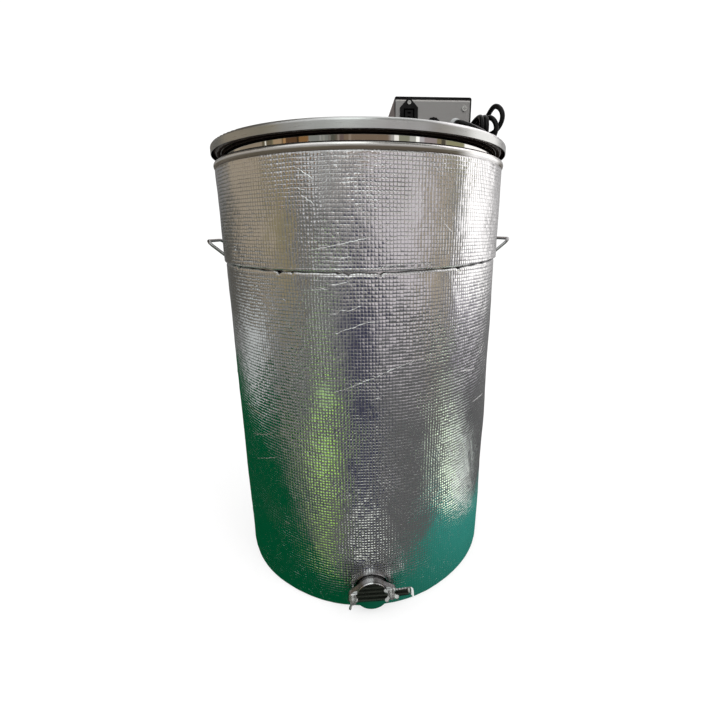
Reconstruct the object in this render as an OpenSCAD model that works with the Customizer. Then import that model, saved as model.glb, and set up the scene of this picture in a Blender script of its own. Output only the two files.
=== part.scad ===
// Heated honey settling tank: an insulated steel drum with a lift-off lid,
// a swing gate at its foot and a heat controller on the lid.
// The origin is on the tank's axis at the floor. The gate faces -Y and +Z is up.

/* [Tank] */
// Inside diameter of the steel tank
tank_bore_d = 500; // [420:1:600]
// Thickness of the tank's wall
wall_t = 1; // [0.8:0.1:1.6]
// Height of the tank to the top of its rolled rim
tank_h = 793.5; // [700:0.5:900]
// Radius of the rolled rim
curl_r = 6; // [5:0.25:6.5]
// Distance from the top of the rim down to the middle of the swaged bead
bead_drop = 31.5; // [26:0.5:50]
// Half the height of the swaged bead
bead_r = 6; // [4:0.25:8]
// How far the bead stands out from the wall
bead_reach = 14.5; // [8:0.25:15]
// Height of the inside floor above the ground
floor_z = 17; // [16.5:0.25:18]
// Thickness of the floor and base plates
plate_t = 1.5; // [1:0.1:2]

/* [Insulation and heater] */
// Thickness of the upper insulation band
upper_band_t = 12.2; // [9:0.1:12.5]
// Thickness of the lower insulation band
lower_band_t = 9.7; // [6:0.1:10]
// Height of the lower insulation band
lower_band_h = 596; // [560:0.5:598]
// Gap under the lower band
band_lift = 1; // [0.5:0.25:4]
// Gap at the seam between the bands
seam_gap = 1.5; // [0.5:0.25:3]
// Diameter of the heating mat under the floor
heater_d = 400; // [250:1:410]
// Thickness of the heating mat
heater_t = 2; // [1:0.1:3]
// Diameter of the lead grommet in the skirt
grommet_d = 10; // [8:0.25:11]
// Bore of the lead grommet
grommet_bore_d = 7.6; // [6:0.1:8]

/* [Outlet and gate] */
// Height of the outlet's axis above the ground
outlet_z = 39; // [38:0.25:44]
// Bore of the outlet
outlet_bore_d = 41; // [38:0.25:42]
// Outside diameter of the outlet stub
stub_d = 48; // [46:0.25:49]
// Turn of the gate on its thread, in degrees
gate_turn = 5; // [0:0.5:8]
// How far the gate's seat stands in front of the lower band
gate_reach = 13.2; // [12.5:0.1:16]
// Thickness of the gate's flange
flange_t = 8.2; // [7:0.1:9]
// Diameter of the gate's flange
flange_d = 57; // [56:0.25:60]
// Diameter of the gate's threaded sleeve
sleeve_d = 56; // [53:0.25:57]
// Hole in the lower band around the gate
gate_hole_d = 62; // [60:0.25:68]
// Distance between the gate's bolts
bolt_pitch = 67; // [66:0.25:70]
// Diameter of the bolt ears
ear_d = 18; // [15:0.25:20]
// Diameter of the gate's bolts
bolt_d = 6; // [5:0.1:7]
// Diameter of the swinging plate's disc
disc_d = 55; // [52:0.25:56]
// Thickness of the swinging plate
disc_t = 3; // [2:0.1:4]
// Reach of the lever from the outlet's axis
lever_reach = 72; // [68:0.5:90]
// Width of the lever
lever_w = 14; // [11:0.25:15]
// Length of the lip at the lever's bent end
lever_lip = 2; // [1:0.25:8]

/* [Wing nuts] */
// Diameter of a wing nut's hub
hub_d = 11; // [9.5:0.1:12]
// Height of a wing nut's hub
hub_h = 5; // [4.5:0.1:9]
// Span across the wings
wing_span = 25; // [22:0.25:27]
// Thickness of a wing
wing_t = 2.2; // [1.5:0.1:3]
// Turn of the pivot bolt's wings, in degrees
pivot_wing_turn = 51; // [0:1:90]
// Turn of the clamp bolt's wings, in degrees
clamp_wing_turn = 12; // [0:1:90]

/* [Handles] */
// Diameter of the handle rod
rod_d = 6; // [5:0.25:9]
// Width of a side handle
handle_w = 90; // [76:0.5:120]
// Length of a side handle from the wall to the middle of its grip
handle_reach = 52; // [44:0.5:70]
// Upward tilt of a side handle, in degrees
handle_tilt = 40; // [30:1:50]
// Height of a side handle's feet above the seam
handle_lift = 6; // [6:0.5:44]
// Bend radius of the rod
rod_bend_r = 14; // [10:0.25:18]

/* [Lid] */
// Diameter of the lid
lid_d = 535.6; // [530:0.2:560]
// Thickness of the lid's sheet
lid_t = 1; // [0.8:0.1:1.5]
// Height of the lid's rim
lid_rim_h = 14.3; // [11:0.1:16]
// Radius of the lid's edge
lid_edge_r = 5; // [2:0.25:7]
// Width of the lid's grip
lid_grip_w = 100; // [80:0.5:120]
// Height of the lid's grip to the middle of its rod
lid_grip_h = 36; // [30:0.5:40]

/* [Controller] */
// Width of the controller's case
case_w = 118; // [116:0.5:124]
// Depth of the controller's case
case_d = 115; // [112:0.5:130]
// Height of the controller's case
case_h = 56; // [54:0.5:70]
// Thickness of the case's sheet
case_t = 1.2; // [0.8:0.1:2]
// Distance from the tank's axis to the case's left side
case_x = 52; // [40:0.5:52]
// Distance from the tank's axis to the case's front
case_front = 140; // [132:0.5:142]
// Thickness of the case's black cover
cover_t = 3.5; // [2.5:0.1:5]
// Overhang of the cover past the case
cover_lip = 1.5; // [0.5:0.1:2]
// Diameter of the heat control knob
knob_d = 22; // [18:0.25:24]
// Height of the knob
knob_h = 14; // [10:0.25:16]

/* [Mains cord] */
// Diameter of the mains cord
cord_d = 8.2; // [7.7:0.1:8.2]
// Loops in the tied hank
hank_loops = 4; // [2:1:4]
// Radius of a hank's fold
fold_r = 20.5; // [20.5:0.25:21.5]
// Length of a hank's run between its folds
run_l = 107; // [107:1:114]
// Diameter of the plug's body
plug_d = 35.5; // [34:0.25:35.5]
// Length of the plug's body
plug_l = 36; // [28:0.5:38]

/* [Hidden] */
$fn = 96;
// Overrun of every cut
over = 2;
// Gap at a welded or pressed seat
seat_gap = 0.1;
// Gap between pieces that move past each other
move_gap = 0.3;
// Radial gap of a running fit
run_fit = 0.05;

// Tank values
bore_r = tank_bore_d / 2;
wall_r = bore_r + wall_t;
bead_z = tank_h - bead_drop;
bead_x = wall_r + bead_reach - bead_r;
curl_x = wall_r + curl_r - wall_t / 2;

// Insulation values
band_r = wall_r + move_gap;
lower_r = band_r + lower_band_t;
upper_r = band_r + upper_band_t;
seam_z = band_lift + lower_band_h;
upper_z = seam_z + seam_gap;
upper_h = bead_z - bead_r - move_gap - upper_z;
pad_margin = 8;
heater_z = floor_z - plate_t - heater_t - seat_gap;
grommet_lip = 1.5;
grommet_lip_t = 2.5;
grommet_notch_gap = 3;

// Gate values, measured outward from the tank's axis
seat_y = lower_r + gate_reach;
flange_y = seat_y - flange_t;
seal_w = 2.5;
seal_t = 2;
thread_stop = 6;
socket_y = seat_y - thread_stop;
sleeve_gap = 2;
flank_share = 0.96;
disc_y = seat_y + move_gap;
disc_front_y = disc_y + disc_t;
washer_t = 1.2;
washer_d = 13;
washer_y = disc_front_y + move_gap;
nut_y = washer_y + washer_t + move_gap;
bolt_head_t = 4;
bolt_head_d = 10.4;
bolt_tip = 2;
bolt_end_y = nut_y + hub_h + bolt_tip;
notch_gap = 0.4;
lever_fold = 6.5;

// Wing nut values
wing_tip_d = 7;
wing_rise = 2;

// Handle values
handle_z = upper_z + handle_lift;
leg_inset = 2 * rod_d;
leg_hole_gap = 1.5;

// Lid values
lid_r = lid_d / 2;
lid_under_z = tank_h + move_gap;
lid_top = lid_under_z + lid_t;
lid_bottom_z = lid_top - lid_rim_h;

// Appliance outlet values
flange_w = 28;
flange_point_w = 6;
flange_straight_h = 27;
flange_plate_t = 3;
outlet_pitch = 40;
flange_margin = 5;
flange_h = outlet_pitch + 2 * flange_margin;
socket_w = 20;
socket_h = 27;
socket_depth = 18;
pocket_wall = 1.6;
pocket_depth = 14;
core_gap = 2.2;
slot_w = 2.2;
slot_h = 5;
slot_gap_share = 0.3;

// Controller values, from the left front corner of the case on the lid
outlet_x = 21;
outlet_top_gap = 0.2;
outlet_h = case_h - flange_h / 2 - outlet_top_gap;
gland_inset = 25.5;
gland_x = case_w - gland_inset;
gland_z = 18.6;
knob_shift = 0.25;
knob_x = (outlet_x + gland_x) / 2 + knob_shift;
knob_z = 16.8;
earth_inset = 9;
earth_drop = 12;
tab_w = 11;
tab_inset = 5.5;
cover_edge_r = 3;
cheek_gap = 0.5;
cover_hook_h = 3;
cover_hook_t = 1.5;
foot_inset = 15;

// Small screw values
small_screw_d = 3;
small_head_d = 5.6;
small_head_t = 1.6;
small_screw_l = 8;
cross_w = 1;
cross_depth_share = 0.6;
lid_bolt_d = 4;
lid_head_d = 7;
lid_head_t = 2.6;
lid_nut_t = 3.2;
earth_d = 4;
earth_head_d = 8;
earth_head_t = 2.6;
earth_nut_d = 7;

// Heat control values
pot_d = 17;
pot_h = 10;
bush_d = 9.2;
bush_l = 6;
bush_nut_d = 12.5;
bush_nut_t = 2;
shaft_d = 6;
shaft_in = 8;
knob_gap = 0.5;
knob_recess_h = 4;
knob_cap_t = 2;
flute_d = 3;
flutes = 14;
pointer_w = 1.4;
pointer_depth = 0.8;

// Regulator values
block_w = 46;
block_l = 16;
block_h = 14;
block_inset = 7;
block_x = (case_w - block_w) / 2;
block_y = case_d - block_l - block_inset;
block_ways = 4;
block_screw_d = 4;
block_screw_depth = 6;
board_y = 26;
board_gap = 8;
board_w = 70;
board_l = block_y - board_y - board_gap;
board_t = 1.6;
board_x = (case_w - board_w) / 2;
post_h = 6;
post_d = 6;
post_inset = 5;
sink_w = 24;
sink_length_share = 0.52;
sink_l = board_l * sink_length_share;
sink_h = 20;
sink_fins = 5;
sink_base_t = 4;
fin_t = 1;
sink_x = 36;
sink_place_share = 0.24;
sink_y = board_l * sink_place_share;
capacitor_d = 13;
capacitor_h = 18;
capacitor_x = 17;
capacitor_place_share = 0.35;
capacitor_y = board_l * capacitor_place_share;

// Cable gland values
gland_d = 18;
gland_hex_t = 5;
gland_thread_d = 12;
gland_tail = 9;
gland_front = 6;
gland_nut_l = 13;
gland_nose_d = 12;
gland_nose_l = 5;
gland_bore_d = 6.4;
locknut_t = 3.5;

// Cord values
loop_gap = 0.5;
loop_pitch = cord_d + loop_gap;
waist_share = 0.6;
waist_r = cord_d * waist_share;
run_half = run_l / 2;
loop_lift = 18;
loop_lean = 1.5;
left_bulge = 3.5;
right_bulge = 5.5;
tie_w = 12;
tie_t = 1.2;
tie_gap = 0.9;
tie_corner_r = 4;
run_steps = 7;
fold_steps = 5;
hank_sides = 6;
lead_sides = 10;
plug_neck_d = 12;
plug_neck_l = 20;
plug_edge_r = 3;
plug_shoulder_l = 10;
pin_d = 4.8;
pin_l = 19;
pin_pitch = 19;
earth_slot_w = 8;
earth_slot_depth = 3;

// Route of the lead, from the gland's nose to the hank
lead_route = [
    [0, 0, 0], [0, -4, 0], [1.2, -8.6, -1], [5, -13.4, -2.8], [12, -17, -6], [21, -18, -9.5], [30, -15, -12],
    [38.5, -9, -13.4], [45.5, 0, -13.9], [49.8, 11, -13.9], [52, 23, -13.9], [52.8, 36, -13.9],
    [52, 49, -13.9], [50, 62, -13.9]
];
// Route of the tail, from the hank to the plug's neck
tail_route = [
    [0, 0, 0], [-1.5, 7, 0], [-6, 21, 0], [-14, 34, 0], [-25, 45, 0.5], [-39, 52, 3],
    [-54, 55, 6.8], [-69, 56, 10.5], [-83, 56, 13.3], [-91, 56, 13.3]
];

// Shared shapes

// A turn that puts a piece's own Z axis along -Y, with its Y axis up
module facing_front() {
    rotate([90, 0, 0]) children();
}

// The gate's own axes: X across the bolts, Z outward from the tank's axis
module at_gate() {
    translate([0, 0, outlet_z]) facing_front() rotate([0, 0, gate_turn]) children();
}

// A rod bent to a flat bow in the XY plane, with its feet on the Y axis
module rod_bow(width, reach, foot) {
    leg = reach - rod_bend_r;
    grip = width - 2 * rod_bend_r;
    for (side = [0, 1]) mirror([0, side, 0]) {
        translate([-foot, width / 2, 0]) rotate([0, 90, 0]) cylinder(h = leg + foot, d = rod_d);
        translate([leg, grip / 2, 0])
            rotate_extrude(angle = 90) translate([rod_bend_r, 0]) circle(d = rod_d);
    }
    translate([reach, -grip / 2, 0]) rotate([-90, 0, 0]) cylinder(h = grip, d = rod_d);
}

// A round-headed screw along +Z, with its head's seat at zero and a cross recess
module cross_screw(d, length, head_d, head_t) {
    translate([0, 0, -length]) cylinder(h = length, d = d);
    difference() {
        cylinder(h = head_t, d = head_d);
        for (turn = [0, 90]) rotate(turn)
            translate([-head_d / 3, -cross_w / 2, head_t * (1 - cross_depth_share)])
                cube([2 * head_d / 3, cross_w, head_t]);
    }
}

// A rectangle with round corners
module round_rect(size, r) {
    square([size.x - 2 * r, size.y], center = true);
    square([size.x, size.y - 2 * r], center = true);
    for (sx = [-1, 1], sy = [-1, 1])
        translate([sx * (size.x / 2 - r), sy * (size.y / 2 - r)]) circle(r);
}

// Tank

module tank_section() {
    difference() {
        union() {
            translate([bore_r, 0]) square([wall_t, tank_h - curl_r]);
            translate([curl_x, tank_h - curl_r]) circle(curl_r);
            translate([bead_x, bead_z]) circle(bead_r);
            translate([bore_r, bead_z - bead_r]) square([bead_x - bore_r, 2 * bead_r]);
        }
        translate([bead_x, bead_z]) circle(bead_r - wall_t);
        translate([bore_r - over, bead_z - bead_r + wall_t])
            square([bead_x - bore_r + over, 2 * (bead_r - wall_t)]);
    }
}

// A round cut outward through the wall at the gate
module outlet_cut(d, from, to) {
    translate([0, -from, outlet_z]) facing_front() cylinder(h = to - from, d = d);
}

// A round cut outward through the skirt at the back
module grommet_cut(d) {
    translate([0, bore_r - over, floor_z / 2])
        rotate([-90, 0, 0]) cylinder(h = wall_t + upper_band_t + 2 * over, d = d);
}

module tank_wall() {
    color("silver") difference() {
        rotate_extrude() tank_section();
        outlet_cut(stub_d + 2 * seat_gap, bore_r / 2, wall_r + over);
        grommet_cut(grommet_d + 2 * seat_gap);
    }
}

module tank_floor() {
    color("silver") translate([0, 0, floor_z - plate_t]) cylinder(h = plate_t, r = bore_r - seat_gap);
}

module base_plate() {
    color("silver") cylinder(h = plate_t, r = bore_r - seat_gap);
}

module base_pad() {
    color("dimgray") translate([0, 0, plate_t + seat_gap])
        cylinder(h = heater_z - plate_t - 2 * seat_gap, r = bore_r - pad_margin);
}

module heating_mat() {
    color("darkorange") translate([0, 0, heater_z]) cylinder(h = heater_t, d = heater_d);
}

module lead_grommet() {
    lip_d = grommet_d + 2 * grommet_lip;
    inner_y = bore_r - grommet_lip_t;
    color("black") translate([0, inner_y, floor_z / 2]) rotate([-90, 0, 0]) difference() {
        union() {
            cylinder(h = 2 * grommet_lip_t + wall_t, d = grommet_d);
            difference() {
                cylinder(h = 2 * grommet_lip_t + wall_t, d = lip_d);
                translate([0, 0, grommet_lip_t - seat_gap])
                    cylinder(h = wall_t + 2 * seat_gap, d = lip_d + over);
            }
        }
        translate([0, 0, -over]) cylinder(h = 2 * grommet_lip_t + wall_t + 2 * over, d = grommet_bore_d);
    }
}

// Insulation

module band(z, h, r) {
    translate([0, 0, z]) rotate_extrude() translate([band_r, 0]) square([r - band_r, h]);
}

module insulation_lower() {
    lip_d = grommet_d + 2 * grommet_lip;
    color("gainsboro") difference() {
        band(band_lift, lower_band_h, lower_r);
        outlet_cut(gate_hole_d, bore_r / 2, lower_r + over);
        grommet_cut(lip_d + 2 * grommet_notch_gap);
    }
}

// The two legs of the right handle as cutters for the foil
module leg_holes() {
    translate([wall_r, 0, handle_z]) rotate([0, -handle_tilt, 0])
        for (side = [-1, 1]) translate([-leg_inset, side * handle_w / 2, 0])
            rotate([0, 90, 0]) cylinder(h = handle_reach + leg_inset, d = rod_d + 2 * leg_hole_gap);
}

module insulation_upper() {
    color("gainsboro") difference() {
        band(upper_z, upper_h, upper_r);
        for (side = [0, 1]) mirror([side, 0, 0]) leg_holes();
    }
}

// Side handles

module side_handle() {
    difference() {
        translate([wall_r, 0, handle_z]) rotate([0, -handle_tilt, 0])
            rod_bow(handle_w, handle_reach, leg_inset);
        translate([0, 0, handle_z - wall_r / 2]) cylinder(h = wall_r, r = wall_r + seat_gap);
    }
}

module right_handle() {
    color("silver") side_handle();
}

module left_handle() {
    color("silver") mirror([1, 0, 0]) side_handle();
}

// Outlet and gate

module outlet_stub() {
    color("silver") difference() {
        outlet_cut(stub_d, bore_r / 2, socket_y - seat_gap);
        outlet_cut(outlet_bore_d, 0, socket_y + over);
        cylinder(h = 2 * stub_d + outlet_z, r = bore_r);
    }
}

// A round flange with two bolt ears joined to it by straight flanks
module eared_outline(round_d, pitch, ear) {
    lean = asin((round_d - ear) / pitch);
    circle(d = round_d);
    for (side = [-1, 1]) {
        translate([side * pitch / 2, 0]) circle(d = ear);
        tips = [for (up = [1, -1]) flank_share * [side * sin(lean), up * cos(lean)] / 2];
        ear_at = [side * pitch / 2, 0];
        polygon([tips[0] * round_d, tips[1] * round_d, ear_at + tips[1] * ear, ear_at + tips[0] * ear]);
    }
}

module gate_body() {
    back_y = wall_r + sleeve_gap;
    color("silver") at_gate() difference() {
        union() {
            translate([0, 0, flange_y]) linear_extrude(flange_t)
                eared_outline(flange_d, bolt_pitch, ear_d);
            translate([0, 0, back_y]) cylinder(h = flange_y - back_y, d = sleeve_d);
        }
        translate([0, 0, back_y - over]) cylinder(h = seat_y - back_y + 2 * over, d = outlet_bore_d);
        translate([0, 0, back_y - over])
            cylinder(h = socket_y - back_y + over, d = stub_d + 2 * seat_gap);
        translate([0, 0, seat_y - seal_t])
            cylinder(h = seal_t + over, d = outlet_bore_d + 2 * seal_w + 2 * seat_gap);
        for (side = [-1, 1]) translate([side * bolt_pitch / 2, 0, flange_y - over])
            cylinder(h = flange_t + 2 * over, d = bolt_d + 2 * seat_gap);
    }
}

module gate_seal() {
    color("ivory") at_gate() translate([0, 0, seat_y - seal_t + seat_gap]) difference() {
        cylinder(h = seal_t - seat_gap, d = outlet_bore_d + 2 * seal_w);
        translate([0, 0, -over]) cylinder(h = seal_t + 2 * over, d = outlet_bore_d);
    }
}

// The swinging plate: a disc with a pivot eye, a notched arm and a lever
module gate_outline() {
    arm = bolt_pitch / 2;
    circle(d = disc_d);
    translate([-arm, 0]) circle(d = ear_d);
    translate([-arm, -ear_d / 2]) square([arm, ear_d]);
    translate([0, -ear_d / 2]) square([arm + ear_d / 2, ear_d]);
    translate([0, -lever_w / 2]) square([lever_reach - lever_fold, lever_w]);
}

// The notch lets the plate lift off the clamp bolt: an arc about the pivot, open below
module clamp_notch() {
    slot_d = bolt_d + 2 * notch_gap;
    translate([-bolt_pitch / 2, 0]) difference() {
        circle(r = bolt_pitch + slot_d / 2);
        circle(r = bolt_pitch - slot_d / 2);
        translate([-2 * bolt_pitch, 0]) square([4 * bolt_pitch, 2 * bolt_pitch]);
    }
    translate([bolt_pitch / 2, 0]) circle(d = slot_d);
}

module gate_plate() {
    color("gray") at_gate() {
        difference() {
            translate([0, 0, disc_y]) linear_extrude(disc_t) difference() {
                gate_outline();
                clamp_notch();
            }
            translate([-bolt_pitch / 2, 0, disc_y - over])
                cylinder(h = disc_t + 2 * over, d = bolt_d + 2 * run_fit);
        }
        translate([lever_reach - lever_fold, 0, disc_y + lever_fold])
            rotate([90, 0, 0]) linear_extrude(lever_w, center = true) lever_lip_outline();
    }
}

// The lever's end, seen along its edge: a quarter bend forward and a lip with a round edge
module lever_lip_outline() {
    intersection() {
        difference() {
            circle(lever_fold);
            circle(lever_fold - disc_t);
        }
        translate([0, -lever_fold]) square(lever_fold);
    }
    translate([lever_fold - disc_t, 0]) square([disc_t, lever_lip]);
    translate([lever_fold - disc_t / 2, lever_lip]) circle(d = disc_t);
}

module gate_bolt(side) {
    color("silver") at_gate() translate([side * bolt_pitch / 2, 0, 0]) {
        translate([0, 0, flange_y - bolt_head_t]) cylinder(h = bolt_head_t, d = bolt_head_d, $fn = 6);
        translate([0, 0, flange_y]) cylinder(h = bolt_end_y - flange_y, d = bolt_d);
    }
}

module pivot_bolt() {
    gate_bolt(-1);
}

module clamp_bolt() {
    gate_bolt(1);
}

module gate_washers() {
    color("silver") at_gate()
        for (side = [-1, 1]) translate([side * bolt_pitch / 2, 0, washer_y]) difference() {
            cylinder(h = washer_t, d = washer_d);
            translate([0, 0, -over]) cylinder(h = washer_t + 2 * over, d = bolt_d + 2 * seat_gap);
        }
}

module wing_nut(side, turn) {
    tip_x = (wing_span - wing_tip_d) / 2;
    tip_z = hub_h + wing_rise;
    color("silver") at_gate() translate([side * bolt_pitch / 2, 0, nut_y]) rotate(turn) difference() {
        union() {
            cylinder(h = hub_h, d = hub_d);
            for (half = [0, 1]) mirror([half, 0, 0])
                translate([0, wing_t / 2, 0]) rotate([90, 0, 0]) linear_extrude(wing_t) {
                    translate([tip_x, tip_z]) circle(d = wing_tip_d);
                    polygon([
                        [0, 0], [hub_d / 2, 0], [tip_x + wing_tip_d / 2, tip_z],
                        [tip_x - wing_tip_d / 2, tip_z], [0, hub_h]
                    ]);
                }
        }
        translate([0, 0, -over])
            cylinder(h = hub_h + wing_rise + wing_tip_d + over, d = bolt_d + 2 * run_fit);
    }
}

module pivot_wing_nut() {
    wing_nut(-1, pivot_wing_turn);
}

module clamp_wing_nut() {
    wing_nut(1, clamp_wing_turn);
}

// Lid

// Half the outline of a flat cap with a round edge
module cap_outline(r, h, edge) {
    square([r, h - edge]);
    square([r - edge, h]);
    translate([r - edge, h - edge]) circle(edge);
}

module lid_panel() {
    color("silver") difference() {
        translate([0, 0, lid_bottom_z]) rotate_extrude() difference() {
            cap_outline(lid_r, lid_rim_h, lid_edge_r);
            translate([0, -over])
                cap_outline(lid_r - lid_t, lid_rim_h - lid_t + over, lid_edge_r - lid_t);
        }
        at_case() case_feet() translate([0, 0, -lid_t - over])
            cylinder(h = lid_t + 2 * over, d = lid_bolt_d + 2 * seat_gap);
    }
}

module lid_grip() {
    color("silver") translate([0, 0, lid_top]) rotate([0, -90, 0]) rod_bow(lid_grip_w, lid_grip_h, 0);
}

// Controller

module at_case() {
    translate([case_x, -case_front, lid_top]) children();
}

// A place on the case's front, with Z outward
module on_face(x, z) {
    at_case() translate([x, 0, z]) facing_front() children();
}

// Places of the bolts that hold the case to the lid
module case_feet() {
    for (x = [foot_inset, case_w - foot_inset], y = [foot_inset, case_d - foot_inset])
        translate([x, y, 0]) children();
}

// Places of the cover's screws
module cover_places() {
    for (x = [case_t + tab_inset, case_w - case_t - tab_inset])
        for (y = [case_t + tab_inset, case_d - case_t - tab_inset])
            translate([x, y, case_h]) children();
}

module controller_case() {
    inside = [case_w - 2 * case_t, case_d - 2 * case_t, case_h];
    color("darkgray") difference() {
        at_case() {
            difference() {
                cube([case_w, case_d, case_h]);
                translate([case_t, case_t, case_t]) cube(inside);
            }
            for (x = [case_t, case_w - case_t - tab_w], y = [case_t, case_d - case_t - tab_w])
                translate([x, y, case_h - case_t]) cube([tab_w, tab_w, case_t]);
        }
        at_case() case_feet() translate([0, 0, -over])
            cylinder(h = case_t + 2 * over, d = lid_bolt_d + 2 * seat_gap);
        at_case() cover_places() translate([0, 0, -small_screw_l])
            cylinder(h = small_screw_l + over, d = small_screw_d + 2 * seat_gap);
        on_face(outlet_x, outlet_h) translate([0, 0, -case_t - over]) linear_extrude(case_t + 2 * over)
            square([socket_w + 2 * seat_gap, socket_h + 2 * seat_gap], center = true);
        on_face(outlet_x, outlet_h) for (side = [-1, 1])
            translate([0, side * outlet_pitch / 2, -case_t - over])
                cylinder(h = case_t + 2 * over, d = small_screw_d + 2 * seat_gap);
        face_hole(knob_x, knob_z, bush_d);
        face_hole(gland_x, gland_z, gland_thread_d);
        face_hole(case_w - earth_inset, case_h - earth_drop, earth_d);
    }
}

// A round hole through the case's front
module face_hole(x, z, d) {
    on_face(x, z) translate([0, 0, -case_t - over]) cylinder(h = case_t + 2 * over, d = d + 2 * seat_gap);
}

// The cover: a top with a round edge, two cheeks beside the case and two hooks inside it
module controller_cover() {
    width = case_w + 2 * cover_lip;
    depth = case_d + 2 * cover_lip;
    hook_x = case_t + tab_w + seat_gap;
    color([0.05, 0.05, 0.06]) at_case() difference() {
        union() {
            translate([-cover_lip, depth - cover_lip, case_h]) facing_front() linear_extrude(depth) {
                square([width, cover_t - cover_edge_r]);
                translate([cover_edge_r, 0]) square([width - 2 * cover_edge_r, cover_t]);
                for (x = [cover_edge_r, width - cover_edge_r]) intersection() {
                    translate([x, cover_t - cover_edge_r]) circle(cover_edge_r);
                    square([width, cover_t]);
                }
            }
            for (x = [-cover_lip, case_w + seat_gap]) translate([x, -cover_lip, cheek_gap])
                cube([cover_lip - seat_gap, depth, case_h - cheek_gap]);
            for (y = [case_t + seat_gap, case_d - case_t - cover_hook_t - seat_gap])
                translate([hook_x, y, case_h - cover_hook_h])
                    cube([case_w - 2 * hook_x, cover_hook_t, cover_hook_h]);
        }
        cover_places() translate([0, 0, -over])
            cylinder(h = cover_t + 2 * over, d = small_screw_d + 2 * seat_gap);
    }
}

module cover_screws() {
    color("silver") at_case() cover_places() translate([0, 0, cover_t])
        cross_screw(small_screw_d, small_screw_l, small_head_d, small_head_t);
}

module case_bolts() {
    color("silver") at_case() case_feet() translate([0, 0, case_t])
        cross_screw(lid_bolt_d, case_t + lid_t + lid_nut_t + lid_t, lid_head_d, lid_head_t);
}

module case_nuts() {
    color("silver") at_case() case_feet() translate([0, 0, -lid_t - lid_nut_t]) difference() {
        cylinder(h = lid_nut_t, d = lid_head_d, $fn = 6);
        translate([0, 0, -over]) cylinder(h = lid_nut_t + 2 * over, d = lid_bolt_d + 2 * seat_gap);
    }
}

// Appliance outlet

module outlet_flange() {
    polygon([
        for (up = [1, -1]) each [
            [-up * flange_w / 2, up * flange_straight_h / 2],
            [-up * flange_point_w / 2, up * flange_h / 2],
            [up * flange_point_w / 2, up * flange_h / 2],
            [up * flange_w / 2, up * flange_straight_h / 2]
        ]
    ]);
}

module outlet_socket() {
    pocket = [socket_w - 2 * pocket_wall, socket_h - 2 * pocket_wall];
    core = [pocket.x - 2 * core_gap, pocket.y - 2 * core_gap];
    top = flange_plate_t - pocket_depth;
    color([0.06, 0.06, 0.07]) on_face(outlet_x, outlet_h) difference() {
        union() {
            linear_extrude(flange_plate_t) outlet_flange();
            translate([0, 0, -socket_depth]) linear_extrude(socket_depth)
                square([socket_w, socket_h], center = true);
        }
        translate([0, 0, top]) linear_extrude(pocket_depth + over) difference() {
            square(pocket, center = true);
            square(core, center = true);
        }
        for (y = [-1, 0, 1]) translate([-slot_h / 2, y * core.y * slot_gap_share - slot_w / 2, top])
            cube([slot_h, slot_w, pocket_depth + over]);
        for (side = [-1, 1]) translate([0, side * outlet_pitch / 2, -over])
            cylinder(h = flange_plate_t + 2 * over, d = small_screw_d + 2 * seat_gap);
    }
}

module outlet_screws() {
    color("silver") on_face(outlet_x, outlet_h)
        for (side = [-1, 1]) translate([0, side * outlet_pitch / 2, flange_plate_t])
            cross_screw(small_screw_d, small_screw_l, small_head_d, small_head_t);
}

// Heat control

module heat_control() {
    color("dimgray") on_face(knob_x, knob_z) difference() {
        union() {
            translate([0, 0, -case_t - pot_h]) cylinder(h = pot_h, d = pot_d);
            translate([0, 0, -case_t]) cylinder(h = case_t + bush_l, d = bush_d);
        }
        translate([0, 0, -case_t - shaft_in - move_gap])
            cylinder(h = case_t + shaft_in + bush_l + over, d = shaft_d + 2 * run_fit);
    }
}

module control_nut() {
    color("silver") on_face(knob_x, knob_z) difference() {
        cylinder(h = bush_nut_t, d = bush_nut_d, $fn = 6);
        translate([0, 0, -over]) cylinder(h = bush_nut_t + 2 * over, d = bush_d + 2 * seat_gap);
    }
}

module control_shaft() {
    top = bush_nut_t + knob_gap + knob_h - knob_cap_t;
    color("silver") on_face(knob_x, knob_z) translate([0, 0, -case_t - shaft_in])
        cylinder(h = case_t + shaft_in + top - seat_gap, d = shaft_d);
}

module control_knob() {
    color([0.05, 0.05, 0.05]) on_face(knob_x, knob_z) translate([0, 0, bush_nut_t + knob_gap]) difference() {
        cylinder(h = knob_h, d = knob_d);
        translate([0, 0, -over]) cylinder(h = knob_h - knob_cap_t + over, d = shaft_d + 2 * run_fit);
        translate([0, 0, -over]) cylinder(h = knob_recess_h + over, d = bush_d + 2 * move_gap);
        for (i = [0:flutes - 1]) rotate(360 * i / flutes)
            translate([knob_d / 2 + flute_d / 4, 0, knob_recess_h]) cylinder(h = knob_h, d = flute_d);
        translate([-pointer_w / 2, 0, knob_h - pointer_depth])
            cube([pointer_w, knob_d, pointer_depth + over]);
    }
}

// Cable gland and earth screw

module gland_body() {
    color("lightgray") on_face(gland_x, gland_z) difference() {
        union() {
            cylinder(h = gland_hex_t, d = gland_d, $fn = 6);
            translate([0, 0, -case_t - gland_tail])
                cylinder(h = case_t + gland_tail + gland_hex_t + gland_front, d = gland_thread_d);
        }
        translate([0, 0, -case_t - gland_tail - over])
            cylinder(h = case_t + gland_tail + gland_hex_t + gland_front + 2 * over, d = gland_bore_d);
    }
}

module gland_nut() {
    straight = gland_nut_l - gland_nose_l;
    color("lightgray") on_face(gland_x, gland_z) translate([0, 0, gland_hex_t + seat_gap]) difference() {
        union() {
            cylinder(h = straight, d = gland_d);
            translate([0, 0, straight]) cylinder(h = gland_nose_l, d1 = gland_d, d2 = gland_nose_d);
        }
        translate([0, 0, -over]) cylinder(h = gland_nut_l + 2 * over, d = gland_bore_d);
        translate([0, 0, -over]) cylinder(h = gland_front + over, d = gland_thread_d + 2 * seat_gap);
    }
}

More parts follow.
